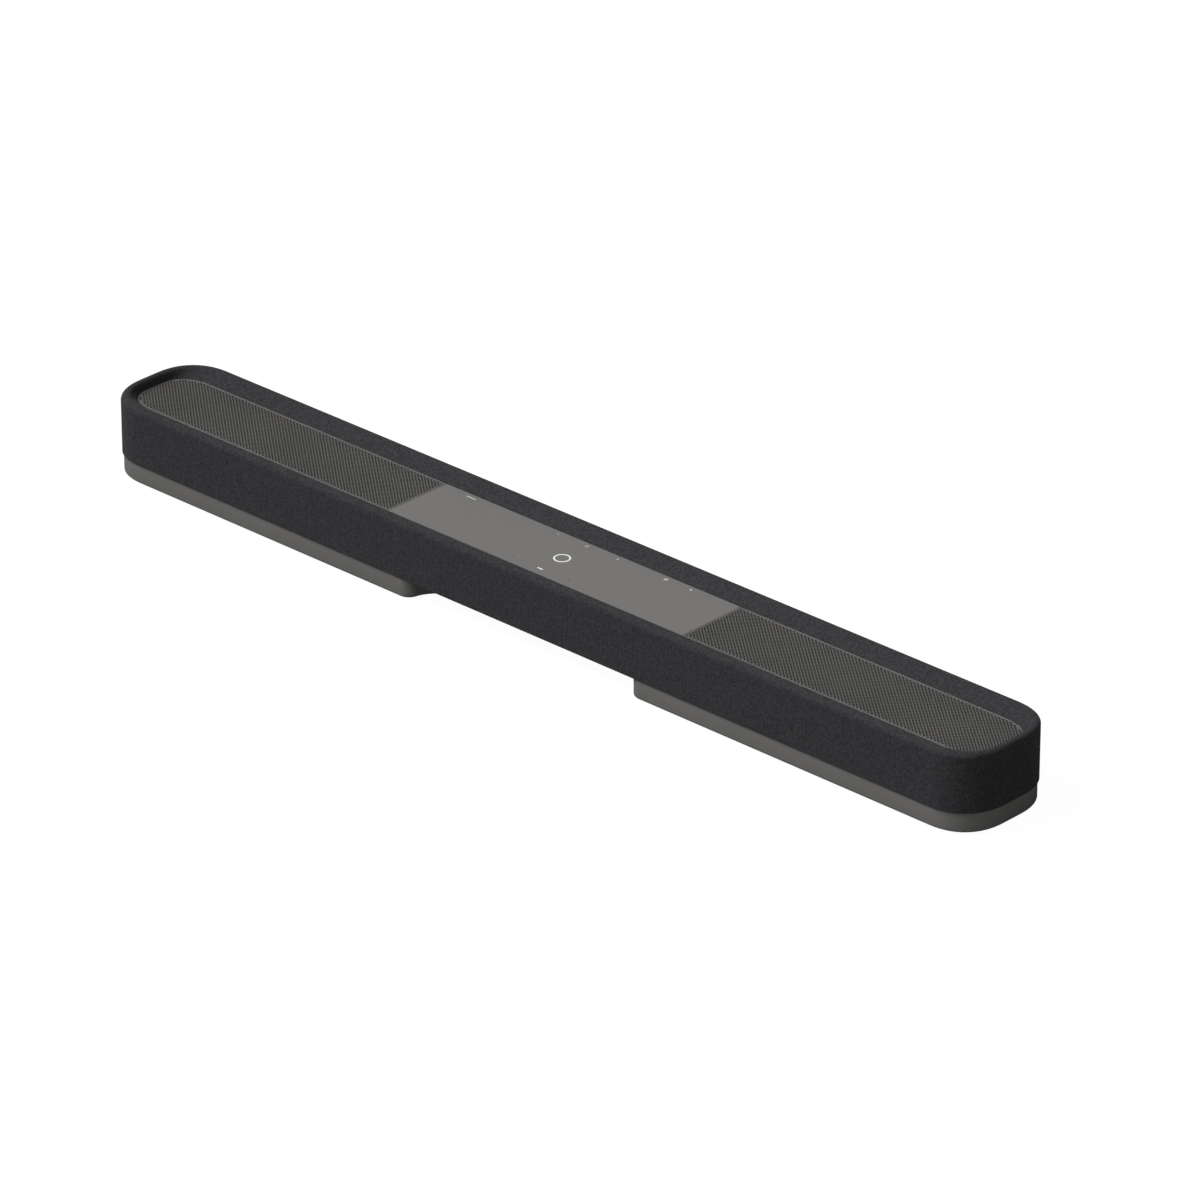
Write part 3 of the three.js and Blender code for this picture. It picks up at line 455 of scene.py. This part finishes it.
corner_centre = (BASE_INNER_X + BASE_CORNER, HALF_DEPTH - BASE_INSET - BASE_CORNER)
sweep_y = BRIDGE_HALF + BASE_SWEEP
centres_rise = sweep_y - corner_centre[1]
centres_run = math.sqrt((BASE_CORNER + BASE_SWEEP) ** 2 - centres_rise ** 2)
sweep_centre = (corner_centre[0] - centres_run, sweep_y)
tangent = math.atan2(centres_rise, -centres_run)
SWEEP_REST = 0.2


def base_outline(wall, end_wall):
    """The right base moved in by a wall: the bar's corner, an arc of the inner corner, an arc of
    the hollow, the point at the bridge, and the same mirrored in y."""
    inner_corner = arc(corner_centre, BASE_CORNER - wall, math.pi / 2, tangent, 14)
    hollow = arc(
        sweep_centre, BASE_SWEEP + wall, tangent - math.pi, -math.pi / 2 + SWEEP_REST, 16)[1:]
    end = [[sweep_centre[0] + end_wall, BRIDGE_HALF - wall]]
    half = np.concatenate([corner(BASE_INSET + wall), inner_corner, hollow, end])
    return np.concatenate([half, half[::-1] * (1, -1)])


def base_loops(turn):
    """Loops from the underside out over the rounded edge, up the wall, over the broken upper
    edge and down inside. turn is 1 for the right base and -1 for the left."""
    low = arc((BASE_ROUND, BASE_BOTTOM + BASE_ROUND), BASE_ROUND, -math.pi / 2, -math.pi, 10)
    high = arc((TOP_BREAK, BASE_TOP - TOP_BREAK), TOP_BREAK, math.pi, math.pi / 2, 4)
    loops = [raised(turn * base_outline(wall, 0.0), z) for wall, z in np.concatenate([low, high])]
    for z in (BASE_TOP, BASE_BOTTOM + BASE_WALL):
        loops.append(raised(turn * base_outline(BASE_WALL, BASE_WALL), z))
    return loops


base_paint = grained(
    "base_paint", (0.118, 0.116, 0.111), (0.128, 0.125, 0.119), 0.42, 2400.0, 0.00003,
    Specular_IOR_Level=0.4)
for side, turn in (("left", -1), ("right", 1)):
    shell = keep(skin(side + "_base_shell", base_loops(turn)), base_paint,
                 [side + "_base"])
    print(shell.name, "faces:", len(shell.data.polygons))

# %% [markdown]
# ## The grilles
# Each grille is thin metal punched with a staggered pattern of round holes. Cutting thousands of
# holes with booleans is slow and fragile. Instead the sheet is tiled: around each hole lies one
# six-sided cell, the part of the sheet nearer to that hole than to any other, and all cells fit
# together without gaps. A cell near the edge is left unpunched.

# %% Grille sheet
PANEL_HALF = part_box("control_panel")[1].x
SEAM = 0.4 * MM
GRILLE_END, GRILLE_SIDE = END_RIM_WIDTH + SEAM, RIM_WIDTH + SEAM
GRILLE_BORDER = 1.1 * MM
SHEET_THICKNESS = 1.0 * MM
HOLE_STEP_X, HOLE_STEP_Y = 4.17 * MM, 3.57 * MM
HOLE_RADIUS = 1.22 * MM
HOLE_SIDES = 8


def grille_outline(inset):
    """The right grille moved in by an inset: the bar's outline to the right of the seam."""
    quarter = corner(GRILLE_END + inset, GRILLE_SIDE + inset)
    start = PANEL_HALF + SEAM + inset
    half_width = quarter[-1, 1]
    half = np.concatenate([quarter, [[start, half_width]]])
    return np.concatenate([half, half[::-1] * (1, -1)])


def inside_grille(points, inset):
    """True where a point lies inside the moved-in grille: right of the seam, below the long
    side, and within the rounded corner where it is past the corner's centre both ways."""
    reach_x = CORNER_X - GRILLE_END - inset
    reach_y = CORNER_Y - GRILLE_SIDE - inset
    x, y = points[..., 0], np.abs(points[..., 1])
    past_x = np.maximum(x - (HALF_LENGTH - CORNER_X), 0) / reach_x
    past_y = np.maximum(y - (HALF_DEPTH - CORNER_Y), 0) / reach_y
    return (x > PANEL_HALF + SEAM + inset) & (
        past_x ** CORNER_POWER + past_y ** CORNER_POWER < 1)


def punched_sheet(name, turn):
    """Cells of the staggered lattice. The corners of a cell are (+-p, 0) and (+-q, +-b/2), with
    p = (a a + b b) / 4a and q = p - b b / 2a for steps a and b. Shared corners are merged by
    rounding, and an edge that only one face uses gets a wall, so that the sheet is closed."""
    a, b = HOLE_STEP_X, HOLE_STEP_Y
    p = (a * a + b * b) / (4 * a)
    q = p - b * b / (2 * a)
    k, j = np.meshgrid(np.arange(0, 170), np.arange(-14, 15), indexing="ij")
    x0 = PANEL_HALF + SEAM + 1.2 * MM
    centres = np.stack([x0 + k * a / 2, (j + (k % 2) / 2) * b], -1).reshape(-1, 2)
    centres = centres[inside_grille(centres, 0.5 * MM)]
    punched = inside_grille(centres, GRILLE_BORDER + HOLE_RADIUS + 0.1 * MM)
    rim = np.array([[p, 0], [q, b / 2], [-q, b / 2], [-p, 0], [-q, -b / 2], [q, -b / 2]])
    angles = np.arange(HOLE_SIDES) * 2 * math.pi / HOLE_SIDES
    hole = HOLE_RADIUS * np.column_stack([np.cos(angles), np.sin(angles)])
    template = np.concatenate([rim, hole])
    quads = np.array([[0, 1, 7, 6], [2, 3, 10, 9], [3, 4, 11, 10], [5, 0, 6, 13]])
    trios = np.array([[1, 8, 7], [1, 2, 8], [2, 9, 8], [4, 12, 11], [4, 5, 12], [5, 13, 12]])
    holed = (centres[punched][:, None] + template).reshape(-1, 2)
    plain = (centres[~punched][:, None] + rim).reshape(-1, 2)
    starts = np.arange(punched.sum())[:, None, None] * len(template)
    plain_starts = len(holed) + np.arange((~punched).sum())[:, None, None] * len(rim)
    flat = np.concatenate([holed, plain])
    _, first, merged = np.unique(
        np.round(flat / (0.001 * MM)).astype(np.int64), axis=0, return_index=True,
        return_inverse=True)
    merged = merged.reshape(-1)
    flat = flat[first]
    plain_quads = plain_starts + np.array([[0, 1, 2, 3], [0, 3, 4, 5]])
    quads = merged[np.concatenate([(starts + quads).reshape(-1, 4), plain_quads.reshape(-1, 4)])]
    trios = merged[(starts + trios).reshape(-1, 3)]
    edges = np.concatenate([
        np.stack([quads, np.roll(quads, -1, 1)], -1).reshape(-1, 2),
        np.stack([trios, np.roll(trios, -1, 1)], -1).reshape(-1, 2)])
    _, index, times = np.unique(np.sort(edges, 1), axis=0, return_index=True, return_counts=True)
    border = edges[index[times == 1]]
    count = len(flat)
    walls = np.stack([border[:, 1], border[:, 0], border[:, 0] + count, border[:, 1] + count], -1)
    points = np.concatenate(
        [raised(turn * flat, TOP_LEVEL), raised(turn * flat, TOP_LEVEL - SHEET_THICKNESS)])
    faces = (quads.tolist() + trios.tolist() + (quads[:, ::-1] + count).tolist()
             + (trios[:, ::-1] + count).tolist() + walls.tolist())
    print(name, "holes:", int(punched.sum()), "plain cells:", int((~punched).sum()))
    return add_mesh(name, points, faces)


grille_coat = grained(
    "grille_coat", (0.095, 0.093, 0.089), (0.106, 0.103, 0.098), 0.45, 3200.0, 0.00002,
    Specular_IOR_Level=0.4)
for side, turn in (("left", -1), ("right", 1)):
    keep(punched_sheet(side + "_grille_sheet", turn), grille_coat,
         [side + "_grille"])

# %% [markdown]
# The punched sheet is spot-welded to a folded rim. The rim stands a hair above the sheet, and its
# rounded edge shows as a thin bright line all round. It is one closed section carried round the
# grille's outline, and it hides where the cells end.

# %% Grille rim
RIM_RISE = 0.12 * MM


def rim_loops(turn):
    """Section as (inset, z): up the outside, over a small round, across the flat top, over the
    inner round, then down through the sheet and back."""
    top = TOP_LEVEL + RIM_RISE
    outer_round = arc((0.3 * MM, top - 0.3 * MM), 0.3 * MM, math.pi, math.pi / 2, 5)
    inner_round = arc((0.8 * MM, top - 0.3 * MM), 0.3 * MM, math.pi / 2, 0, 5)
    under = [[1.1 * MM, TOP_LEVEL - 1.3 * MM], [0.9 * MM, TOP_LEVEL - 2.3 * MM],
             [0.0, TOP_LEVEL - 2.3 * MM]]
    section = np.concatenate([outer_round, inner_round, under])
    return [raised(turn * grille_outline(inset), z) for inset, z in section]


for side, turn in (("left", -1), ("right", 1)):
    keep(skin(side + "_grille_rim", rim_loops(turn), ring=True), grille_coat)

# %% [markdown]
# Under the holes lies a thin black cloth that keeps dust out and hides the loudspeakers. It is
# glued flat under the sheet. What one sees of it is only darkness: its colour is near black,
# darker than the cover's cloth, so that it paints the shade under the holes as well as the cloth's
# own black. From straight above its weave shows in each hole.

# %% Scrim
SCRIM_THICKNESS = 0.3 * MM
SCRIM_INSET = 1.0 * MM
SCRIM_TOP = TOP_LEVEL - 1.3 * MM
SCRIM_WEAVE = 12566.0  # radians a metre, so one wave of the weave is half a millimetre


def woven_scrim():
    """Two crossed waves on Object x and y, 0.5 mm apart, as a plain weave in near black. The near
    black is darker than cloth is, so it also paints the shade under the holes.
    """
    finish, tree, shader = blank_finish("scrim_cloth_and_shade", 0.95, Specular_IOR_Level=0.1)
    parts = node(tree, "SeparateXYZ", {0: node(tree, "TexCoord").outputs["Object"]})
    waves = [math_node(tree, "SINE", math_node(tree, "MULTIPLY", parts.outputs[i], SCRIM_WEAVE))
             for i in (0, 1)]
    weave = spread(tree, math_node(tree, "MULTIPLY", waves[0], waves[1]), 0.0, 1.0, -1.0, 1.0)
    # Both tones are near black: the cloth's own black and painted shade under the holes.
    dark, light = (0.003, 0.003, 0.0032), (0.012, 0.012, 0.0125)
    tree.links.new(tones(tree, weave, dark, light), shader.inputs["Base Color"])
    push(tree, shader, weave, 0.0001)
    return finish


scrim_cloth_and_shade = woven_scrim()
for side, turn in (("left", -1), ("right", 1)):
    loops = [raised(turn * grille_outline(SCRIM_INSET), z)
             for z in (SCRIM_TOP - SCRIM_THICKNESS, SCRIM_TOP)]
    scrim = keep(skin(side + "_grille_scrim", loops), scrim_cloth_and_shade)

# %% [markdown]
# ## The control panel
# Between the grilles sits one smooth grey plate with touch keys under it. Its shape in the
# engineering model is right, so it stays and only gets a finish: a matt lacquer with a very faint
# unevenness and a trace of finger marks in its gloss.

# %% Panel lacquer
def panel_lacquer_finish():
    """Broad clouds shift the tone by about 3 percent; stretched noise thins the gloss where
    fingers have wiped, from 0.36 to 0.44."""
    finish, tree, shader = blank_finish("panel_lacquer", 0.4, Specular_IOR_Level=0.4)
    place = node(tree, "TexCoord").outputs["Object"]
    colour = tones(tree, spread(tree, clouds(tree, place, 9.0), 0.0, 1.0),
                   (0.147, 0.144, 0.139), (0.155, 0.151, 0.146))
    tree.links.new(colour, shader.inputs["Base Color"])
    wiped = node(tree, "Mapping", {"Vector": place, "Scale": (22.0, 60.0, 60.0)}).outputs[0]
    gloss = spread(tree, clouds(tree, wiped, 1.0, 4.0), 0.36, 0.44)
    tree.links.new(gloss, shader.inputs["Roughness"])
    push(tree, shader, clouds(tree, place, 4200.0, 2.0), 0.000008)
    return finish


def dress(finish, *names):
    """Puts a finish on nodes of the engineering model."""
    for name in names:
        nodes[name].data.materials.clear()
        nodes[name].data.materials.append(finish)


dress(panel_lacquer_finish(), "control_panel")

# %% [markdown]
# The lit ring in the middle and the status light are off-white lenses set into the plate. The key
# signs are plain printed shapes: a long dash, a minus, a ring, a plus, a dot in a ring and an
# arrow head. Each is a film of ink a few hundredths of a millimetre thick.

# %% Lenses and printed signs
lens_white = grained(
    "lens_white", (0.72, 0.72, 0.70), (0.82, 0.82, 0.80), 0.35, 1800.0, 0.00001, patches=900.0)
print_ink = grained(
    "print_ink", (0.50, 0.50, 0.485), (0.60, 0.60, 0.585), 0.55, 5200.0, 0.00001, patches=1500.0)
dress(lens_white, "centre_mark", "status_light")
INK_THICKNESS = 0.05 * MM
KEY_ROW = 32.0  # in millimetres, as all the signs' measures are


def film(name, shape):
    """A flat outline in millimetres made into a film of ink on the panel, slightly smaller at the
    top, as ink dries."""
    shape = np.asarray(shape, float) * MM
    middle = shape.mean(0)
    levels = ((TOP_LEVEL + 0.01 * MM, 1.0), (TOP_LEVEL + INK_THICKNESS, 0.97))
    loops = [raised(middle + (shape - middle) * size, z) for z, size in levels]
    return keep(skin(name, loops), print_ink)


def bar_shape(x, y, length, width):
    """A dash with round ends."""
    run_half = (length - width) / 2
    right = arc((x + run_half, y), width / 2, -math.pi / 2, math.pi / 2, 6)
    left = arc((x - run_half, y), width / 2, math.pi / 2, 3 * math.pi / 2, 6)
    return np.concatenate([right, left])


def ring_film(name, x, y, radius, width):
    """A printed ring: a four-sided section carried round a circle."""
    z = TOP_LEVEL / MM + 0.01
    section = [(radius, z), (radius, z + 0.04), (radius - width, z + 0.04), (radius - width, z)]
    loops = [raised(arc((x, y), r, 0, 2 * math.pi, 24)[:-1], level) * MM for r, level in section]
    return keep(skin(name, loops, ring=True), print_ink)


def plus_shape(x, y, reach, half):
    """A plus with arms that reach out from its middle and are two halves wide."""
    corners = [(reach, -half), (reach, half), (half, half), (half, reach), (-half, reach),
               (-half, half), (-reach, half), (-reach, -half), (-half, -half), (-half, -reach),
               (half, -reach), (half, -half)]
    return np.array(corners) + (x, y)


film("long_dash_sign", bar_shape(-142.5, KEY_ROW, 11.0, 1.1))
film("minus_sign", bar_shape(-35.0, KEY_ROW, 2.6, 0.6))
ring_film("ring_sign", 0.0, KEY_ROW, 1.7, 0.5)
film("plus_sign", plus_shape(37.0, KEY_ROW, 1.3, 0.28))
ring_film("target_sign", 95.0, KEY_ROW, 2.0, 0.6)
film("target_dot", arc((95.0, KEY_ROW), 0.8, 0, 2 * math.pi, 12)[:-1])
film("arrow_sign", [(123.6, KEY_ROW - 1.4), (126.4, KEY_ROW), (123.6, KEY_ROW + 1.4)])

# %% [markdown]
# ## Feet
# Each base stands on two long rubber pads. The pad has rounded ends and a rounded lower edge, and
# rubber shows best in fine matt speckle, with no gloss.

# %% Rubber pads
pad_rubber = grained(
    "pad_rubber", (0.010, 0.010, 0.010), (0.018, 0.018, 0.018), 0.85, 2600.0, 0.00006,
    patches=120.0, Specular_IOR_Level=0.2)


def pad_outline(low, high, inset):
    """A long outline with half-round ends that fills a node's box, moved in by an inset."""
    radius = (high.y - low.y) / 2
    middle = (high.y + low.y) / 2
    right = arc((high.x - radius, middle), radius - inset, -math.pi / 2, math.pi / 2, 12)
    left = arc((low.x + radius, middle), radius - inset, math.pi / 2, 3 * math.pi / 2, 12)
    return np.concatenate([right, left])


for name in ("left_front_foot_pad", "left_back_foot_pad", "right_front_foot_pad",
             "right_back_foot_pad"):
    low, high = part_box(name)
    edge = 0.8 * MM
    lower = arc((edge, low.z + edge), edge, -math.pi / 2, -math.pi, 6)
    section = np.concatenate([lower, [[0.0, high.z]]])
    loops = [raised(pad_outline(low, high, inset), z) for inset, z in section]
    keep(skin(name + "_rubber", loops), pad_rubber, [name])

# %% [markdown]
# ## Sockets
# The sockets sit in the back of the bridge. Each opening gets what its kind has: a folded metal
# shell with a tongue, gold contacts, or a shutter. All shells are one rounded rectangle carried
# along the plug's direction.

# %% Socket shells
socket_black = grained(
    "socket_black", (0.010, 0.010, 0.011), (0.016, 0.016, 0.017), 0.35, 1500.0, 0.00002)
socket_metal = grained(
    "socket_metal", (0.50, 0.50, 0.51), (0.62, 0.62, 0.63), 0.28, 2200.0, 0.00001,
    patches=300.0, Metallic=1.0)
contact_gold = grained(
    "contact_gold", (0.80, 0.58, 0.24), (0.92, 0.70, 0.34), 0.25, 2600.0, 0.000008,
    patches=500.0, Metallic=1.0)


def rounded_rectangle(half_x, half_z, radius):
    """Four quarter arcs at the corners of a rectangle, as (x, z)."""
    corners = [(1, 1, 0), (-1, 1, 1), (-1, -1, 2), (1, -1, 3)]
    return np.concatenate([
        arc((sx * (half_x - radius), sz * (half_z - radius)), radius,
            quarter * math.pi / 2, (quarter + 1) * math.pi / 2, 4)
        for sx, sz, quarter in corners])


def along_y(shape, x, y, z):
    """An (x, z) outline set at one place along y."""
    return np.column_stack([x + shape[:, 0], np.full(len(shape), y), z + shape[:, 1]])


def socket_liner(name, x, z, half_x, half_z, front, back, wall, finish):
    """A thin tube of rounded rectangles, open at the back and at the front."""
    outer_shape = rounded_rectangle(half_x, half_z, 0.8 * MM)
    inner_shape = rounded_rectangle(half_x - wall, half_z - wall, 0.8 * MM - wall / 2)
    loops = [along_y(outer_shape, x, front, z), along_y(outer_shape, x, back, z),
             along_y(inner_shape, x, back, z), along_y(inner_shape, x, front, z)]
    return keep(skin(name, loops, ring=True), finish)


def bar_piece(name, x, z, half_x, half_z, front, back, finish):
    """A small bar along y with rounded corners and a slightly smaller free end."""
    shape = rounded_rectangle(half_x, half_z, min(half_x, half_z) * 0.4)
    loops = [along_y(shape, x, front, z), along_y(shape, x, back - 0.2 * MM, z),
             along_y(shape * 0.9, x, back, z)]
    return keep(skin(name, loops), finish)


def middle_x(name):
    """The middle of a node along x."""
    low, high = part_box(name)
    return (low.x + high.x) / 2


socket_low, socket_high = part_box("display_sockets")
socket_z = (socket_low.z + socket_high.z) / 2
BACK_FACE = socket_high.y
SOCKET_FLOOR = BACK_FACE - 15 * MM
SHELL_WALL = 0.35 * MM
SHELL_ENDS = (SOCKET_FLOOR + 0.2 * MM, BACK_FACE + 0.15 * MM)
DISPLAY_STEP = 21 * MM
CONTACT_STEP = 1.02 * MM
for i in (1, 2, 3):
    x = middle_x("display_sockets") + (i - 2) * DISPLAY_STEP
    name = f"display_socket_{i}"
    socket_liner(name + "_shell", x, socket_z, 7.3 * MM, 2.5 * MM, *SHELL_ENDS, SHELL_WALL,
                 socket_metal)
    bar_piece(name + "_tongue", x, socket_z - 0.2 * MM, 5.4 * MM, 0.7 * MM, SOCKET_FLOOR,
              BACK_FACE - 2.5 * MM, socket_black)
    bar_piece(name + "_contacts", x, socket_z + 0.55 * MM, 5.0 * MM, 0.08 * MM,
              SOCKET_FLOOR + 1 * MM, BACK_FACE - 3.0 * MM, contact_gold)

service_x = middle_x("service_socket")
socket_liner("service_socket_shell", service_x, socket_z, 6.5 * MM, 2.7 * MM, *SHELL_ENDS,
             SHELL_WALL, socket_metal)
bar_piece("service_socket_tongue", service_x, socket_z + 0.9 * MM, 5.2 * MM, 0.8 * MM,
          SOCKET_FLOOR, BACK_FACE - 2.0 * MM, socket_black)
for i in range(8):
    x = middle_x("network_socket") + (i - 3.5) * CONTACT_STEP
    bar_piece(f"network_contact_{i + 1}", x, socket_z + 2.6 * MM, 0.22 * MM, 0.22 * MM,
              SOCKET_FLOOR, BACK_FACE - 4 * MM, contact_gold)
bar_piece("optical_shutter", middle_x("optical_socket"), socket_z, 4.2 * MM, 4.2 * MM,
          SOCKET_FLOOR, BACK_FACE - 1.6 * MM, socket_black)

# %% [markdown]
# ## Everything else in the engineering model
# The other nodes already have their true shapes: the bridge, the frame under the cloth, and what
# sits inside. Each gets a finish with the grain of its own material, so that the model also
# stands being opened.

# %% Finishes inside
moulded_black = grained(
    "moulded_black", (0.012, 0.012, 0.013), (0.020, 0.020, 0.021), 0.6, 1400.0, 0.00006,
    patches=60.0, Specular_IOR_Level=0.3)
basket_plastic = grained(
    "basket_plastic", (0.014, 0.014, 0.015), (0.034, 0.034, 0.036), 0.55, 1100.0, 0.00008,
    patches=700.0)
magnet_steel = grained(
    "magnet_steel", (0.34, 0.34, 0.35), (0.46, 0.46, 0.47), 0.38, 900.0, 0.00003,
    patches=90.0, Metallic=1.0)
cone_paper = grained(
    "cone_paper", (0.018, 0.018, 0.020), (0.045, 0.045, 0.048), 0.8, 700.0, 0.00015,
    patches=420.0)
surround_rubber = grained(
    "surround_rubber", (0.010, 0.010, 0.010), (0.017, 0.017, 0.017), 0.7, 1600.0, 0.00003,
    patches=200.0)


def lined(name, axis, pitch, dark, light, roughness, **sockets):
    """Straight lines across one Object axis, |sin(pi x / pitch)|, as on drawn metal or flat
    cable."""
    finish, tree, shader = blank_finish(name, roughness, **sockets)
    place = node(tree, "TexCoord").outputs["Object"]
    parts = node(tree, "SeparateXYZ", {0: place})
    turns = math_node(tree, "MULTIPLY", parts.outputs[axis], math.pi / pitch)
    line = math_node(tree, "ABSOLUTE", math_node(tree, "SINE", turns))
    worn = math_node(tree, "MULTIPLY", line, spread(tree, clouds(tree, place, 260.0), 0.7, 1.0))
    tree.links.new(tones(tree, worn, dark, light), shader.inputs["Base Color"])
    push(tree, shader, line, 0.00008)
    return finish


def board_finish():
    """Solder mask: a Voronoi's cell borders read as tracks, lighter green over dark green."""
    finish, tree, shader = blank_finish("solder_mask", 0.45)
    place = node(tree, "TexCoord").outputs["Object"]
    cells = node(tree, "TexVoronoi", {"Vector": place, "Scale": 260.0},
                 feature="DISTANCE_TO_EDGE", distance="EUCLIDEAN").outputs["Distance"]
    tracks = spread(tree, cells, 1.0, 0.0, 0.03, 0.07)
    colour = tones(tree, tracks, (0.006, 0.035, 0.020), (0.016, 0.085, 0.045))
    tree.links.new(colour, shader.inputs["Base Color"])
    push(tree, shader, tracks, 0.00003)
    return finish


FINISH_OF_SLOT = {
    "inner_plastic": moulded_black,
    "socket_plastic": socket_black,
    "circuit_board": board_finish(),
    "cable": lined("ribbon_cable", 0, 1.27 * MM, (0.30, 0.30, 0.29), (0.55, 0.55, 0.53), 0.5),
    "aluminium_fins": lined(
        "drawn_aluminium", 2, 0.6 * MM, (0.48, 0.48, 0.49), (0.66, 0.66, 0.67), 0.4, Metallic=1.0),
    "basket_plastic": basket_plastic,
    "magnet_steel": magnet_steel,
    "cone_paper": cone_paper,
    "surround_rubber": surround_rubber,
}
for part in frame["record"]["subparts"]:
    if part["material_slot"] in FINISH_OF_SLOT:
        dress(FINISH_OF_SLOT[part["material_slot"]], part["node"])

# %% [markdown]
# ## The floor
# A plain pale floor carries the bar. To the eye it mostly glows white, and only a small share of
# it is lit by the lamps, so that it takes a breath of shadow. It is a wide disc, so that no edge
# shows from any side.

# %% Floor
FLOOR_RADIUS = 60.0
FLOOR_THROWS_BACK = 0.16
FLOOR_GLOW = 1.03
SHADOW_SHARE = 0.06
floor_finish = grained(
    "floor_white", (0.93, 0.93, 0.93), (0.95, 0.95, 0.95), 0.9, 300.0, 0.00001, patches=2.0,
    Specular_IOR_Level=0.0)
floor_edge = arc((0.0, 0.0), FLOOR_RADIUS, 0, 2 * math.pi, 96)[:-1]
floor = skin("floor", [raised(floor_edge, -0.02), raised(floor_edge, -0.00005)])
floor_tree = floor_finish.node_tree
dull = floor_tree.nodes.new("ShaderNodeBsdfDiffuse")
dull.inputs["Color"].default_value = (*[FLOOR_THROWS_BACK] * 3, 1.0)
glow = floor_tree.nodes.new("ShaderNodeEmission")
glow.inputs["Strength"].default_value = FLOOR_GLOW
bright = floor_tree.nodes.new("ShaderNodeMixShader")
bright.inputs[0].default_value = SHADOW_SHARE
floor_tree.links.new(glow.outputs[0], bright.inputs[1])
floor_tree.links.new(floor_tree.nodes["Principled BSDF"].outputs[0], bright.inputs[2])
floor_tree.links.new(
    seen_and_thrown(floor_tree, bright.outputs[0], dull.outputs[0]),
    floor_tree.nodes["Material Output"].inputs[0])
floor.data.materials.append(floor_finish)
floor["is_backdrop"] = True

# %% [markdown]
# ## The size
# The dressed model is meant to fill the same box as the engineering model. The dressed model's
# size is printed in millimetres.

# %% Size
low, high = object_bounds()
print("dressed size in mm:", [round(x / MM, 1) for x in high - low])
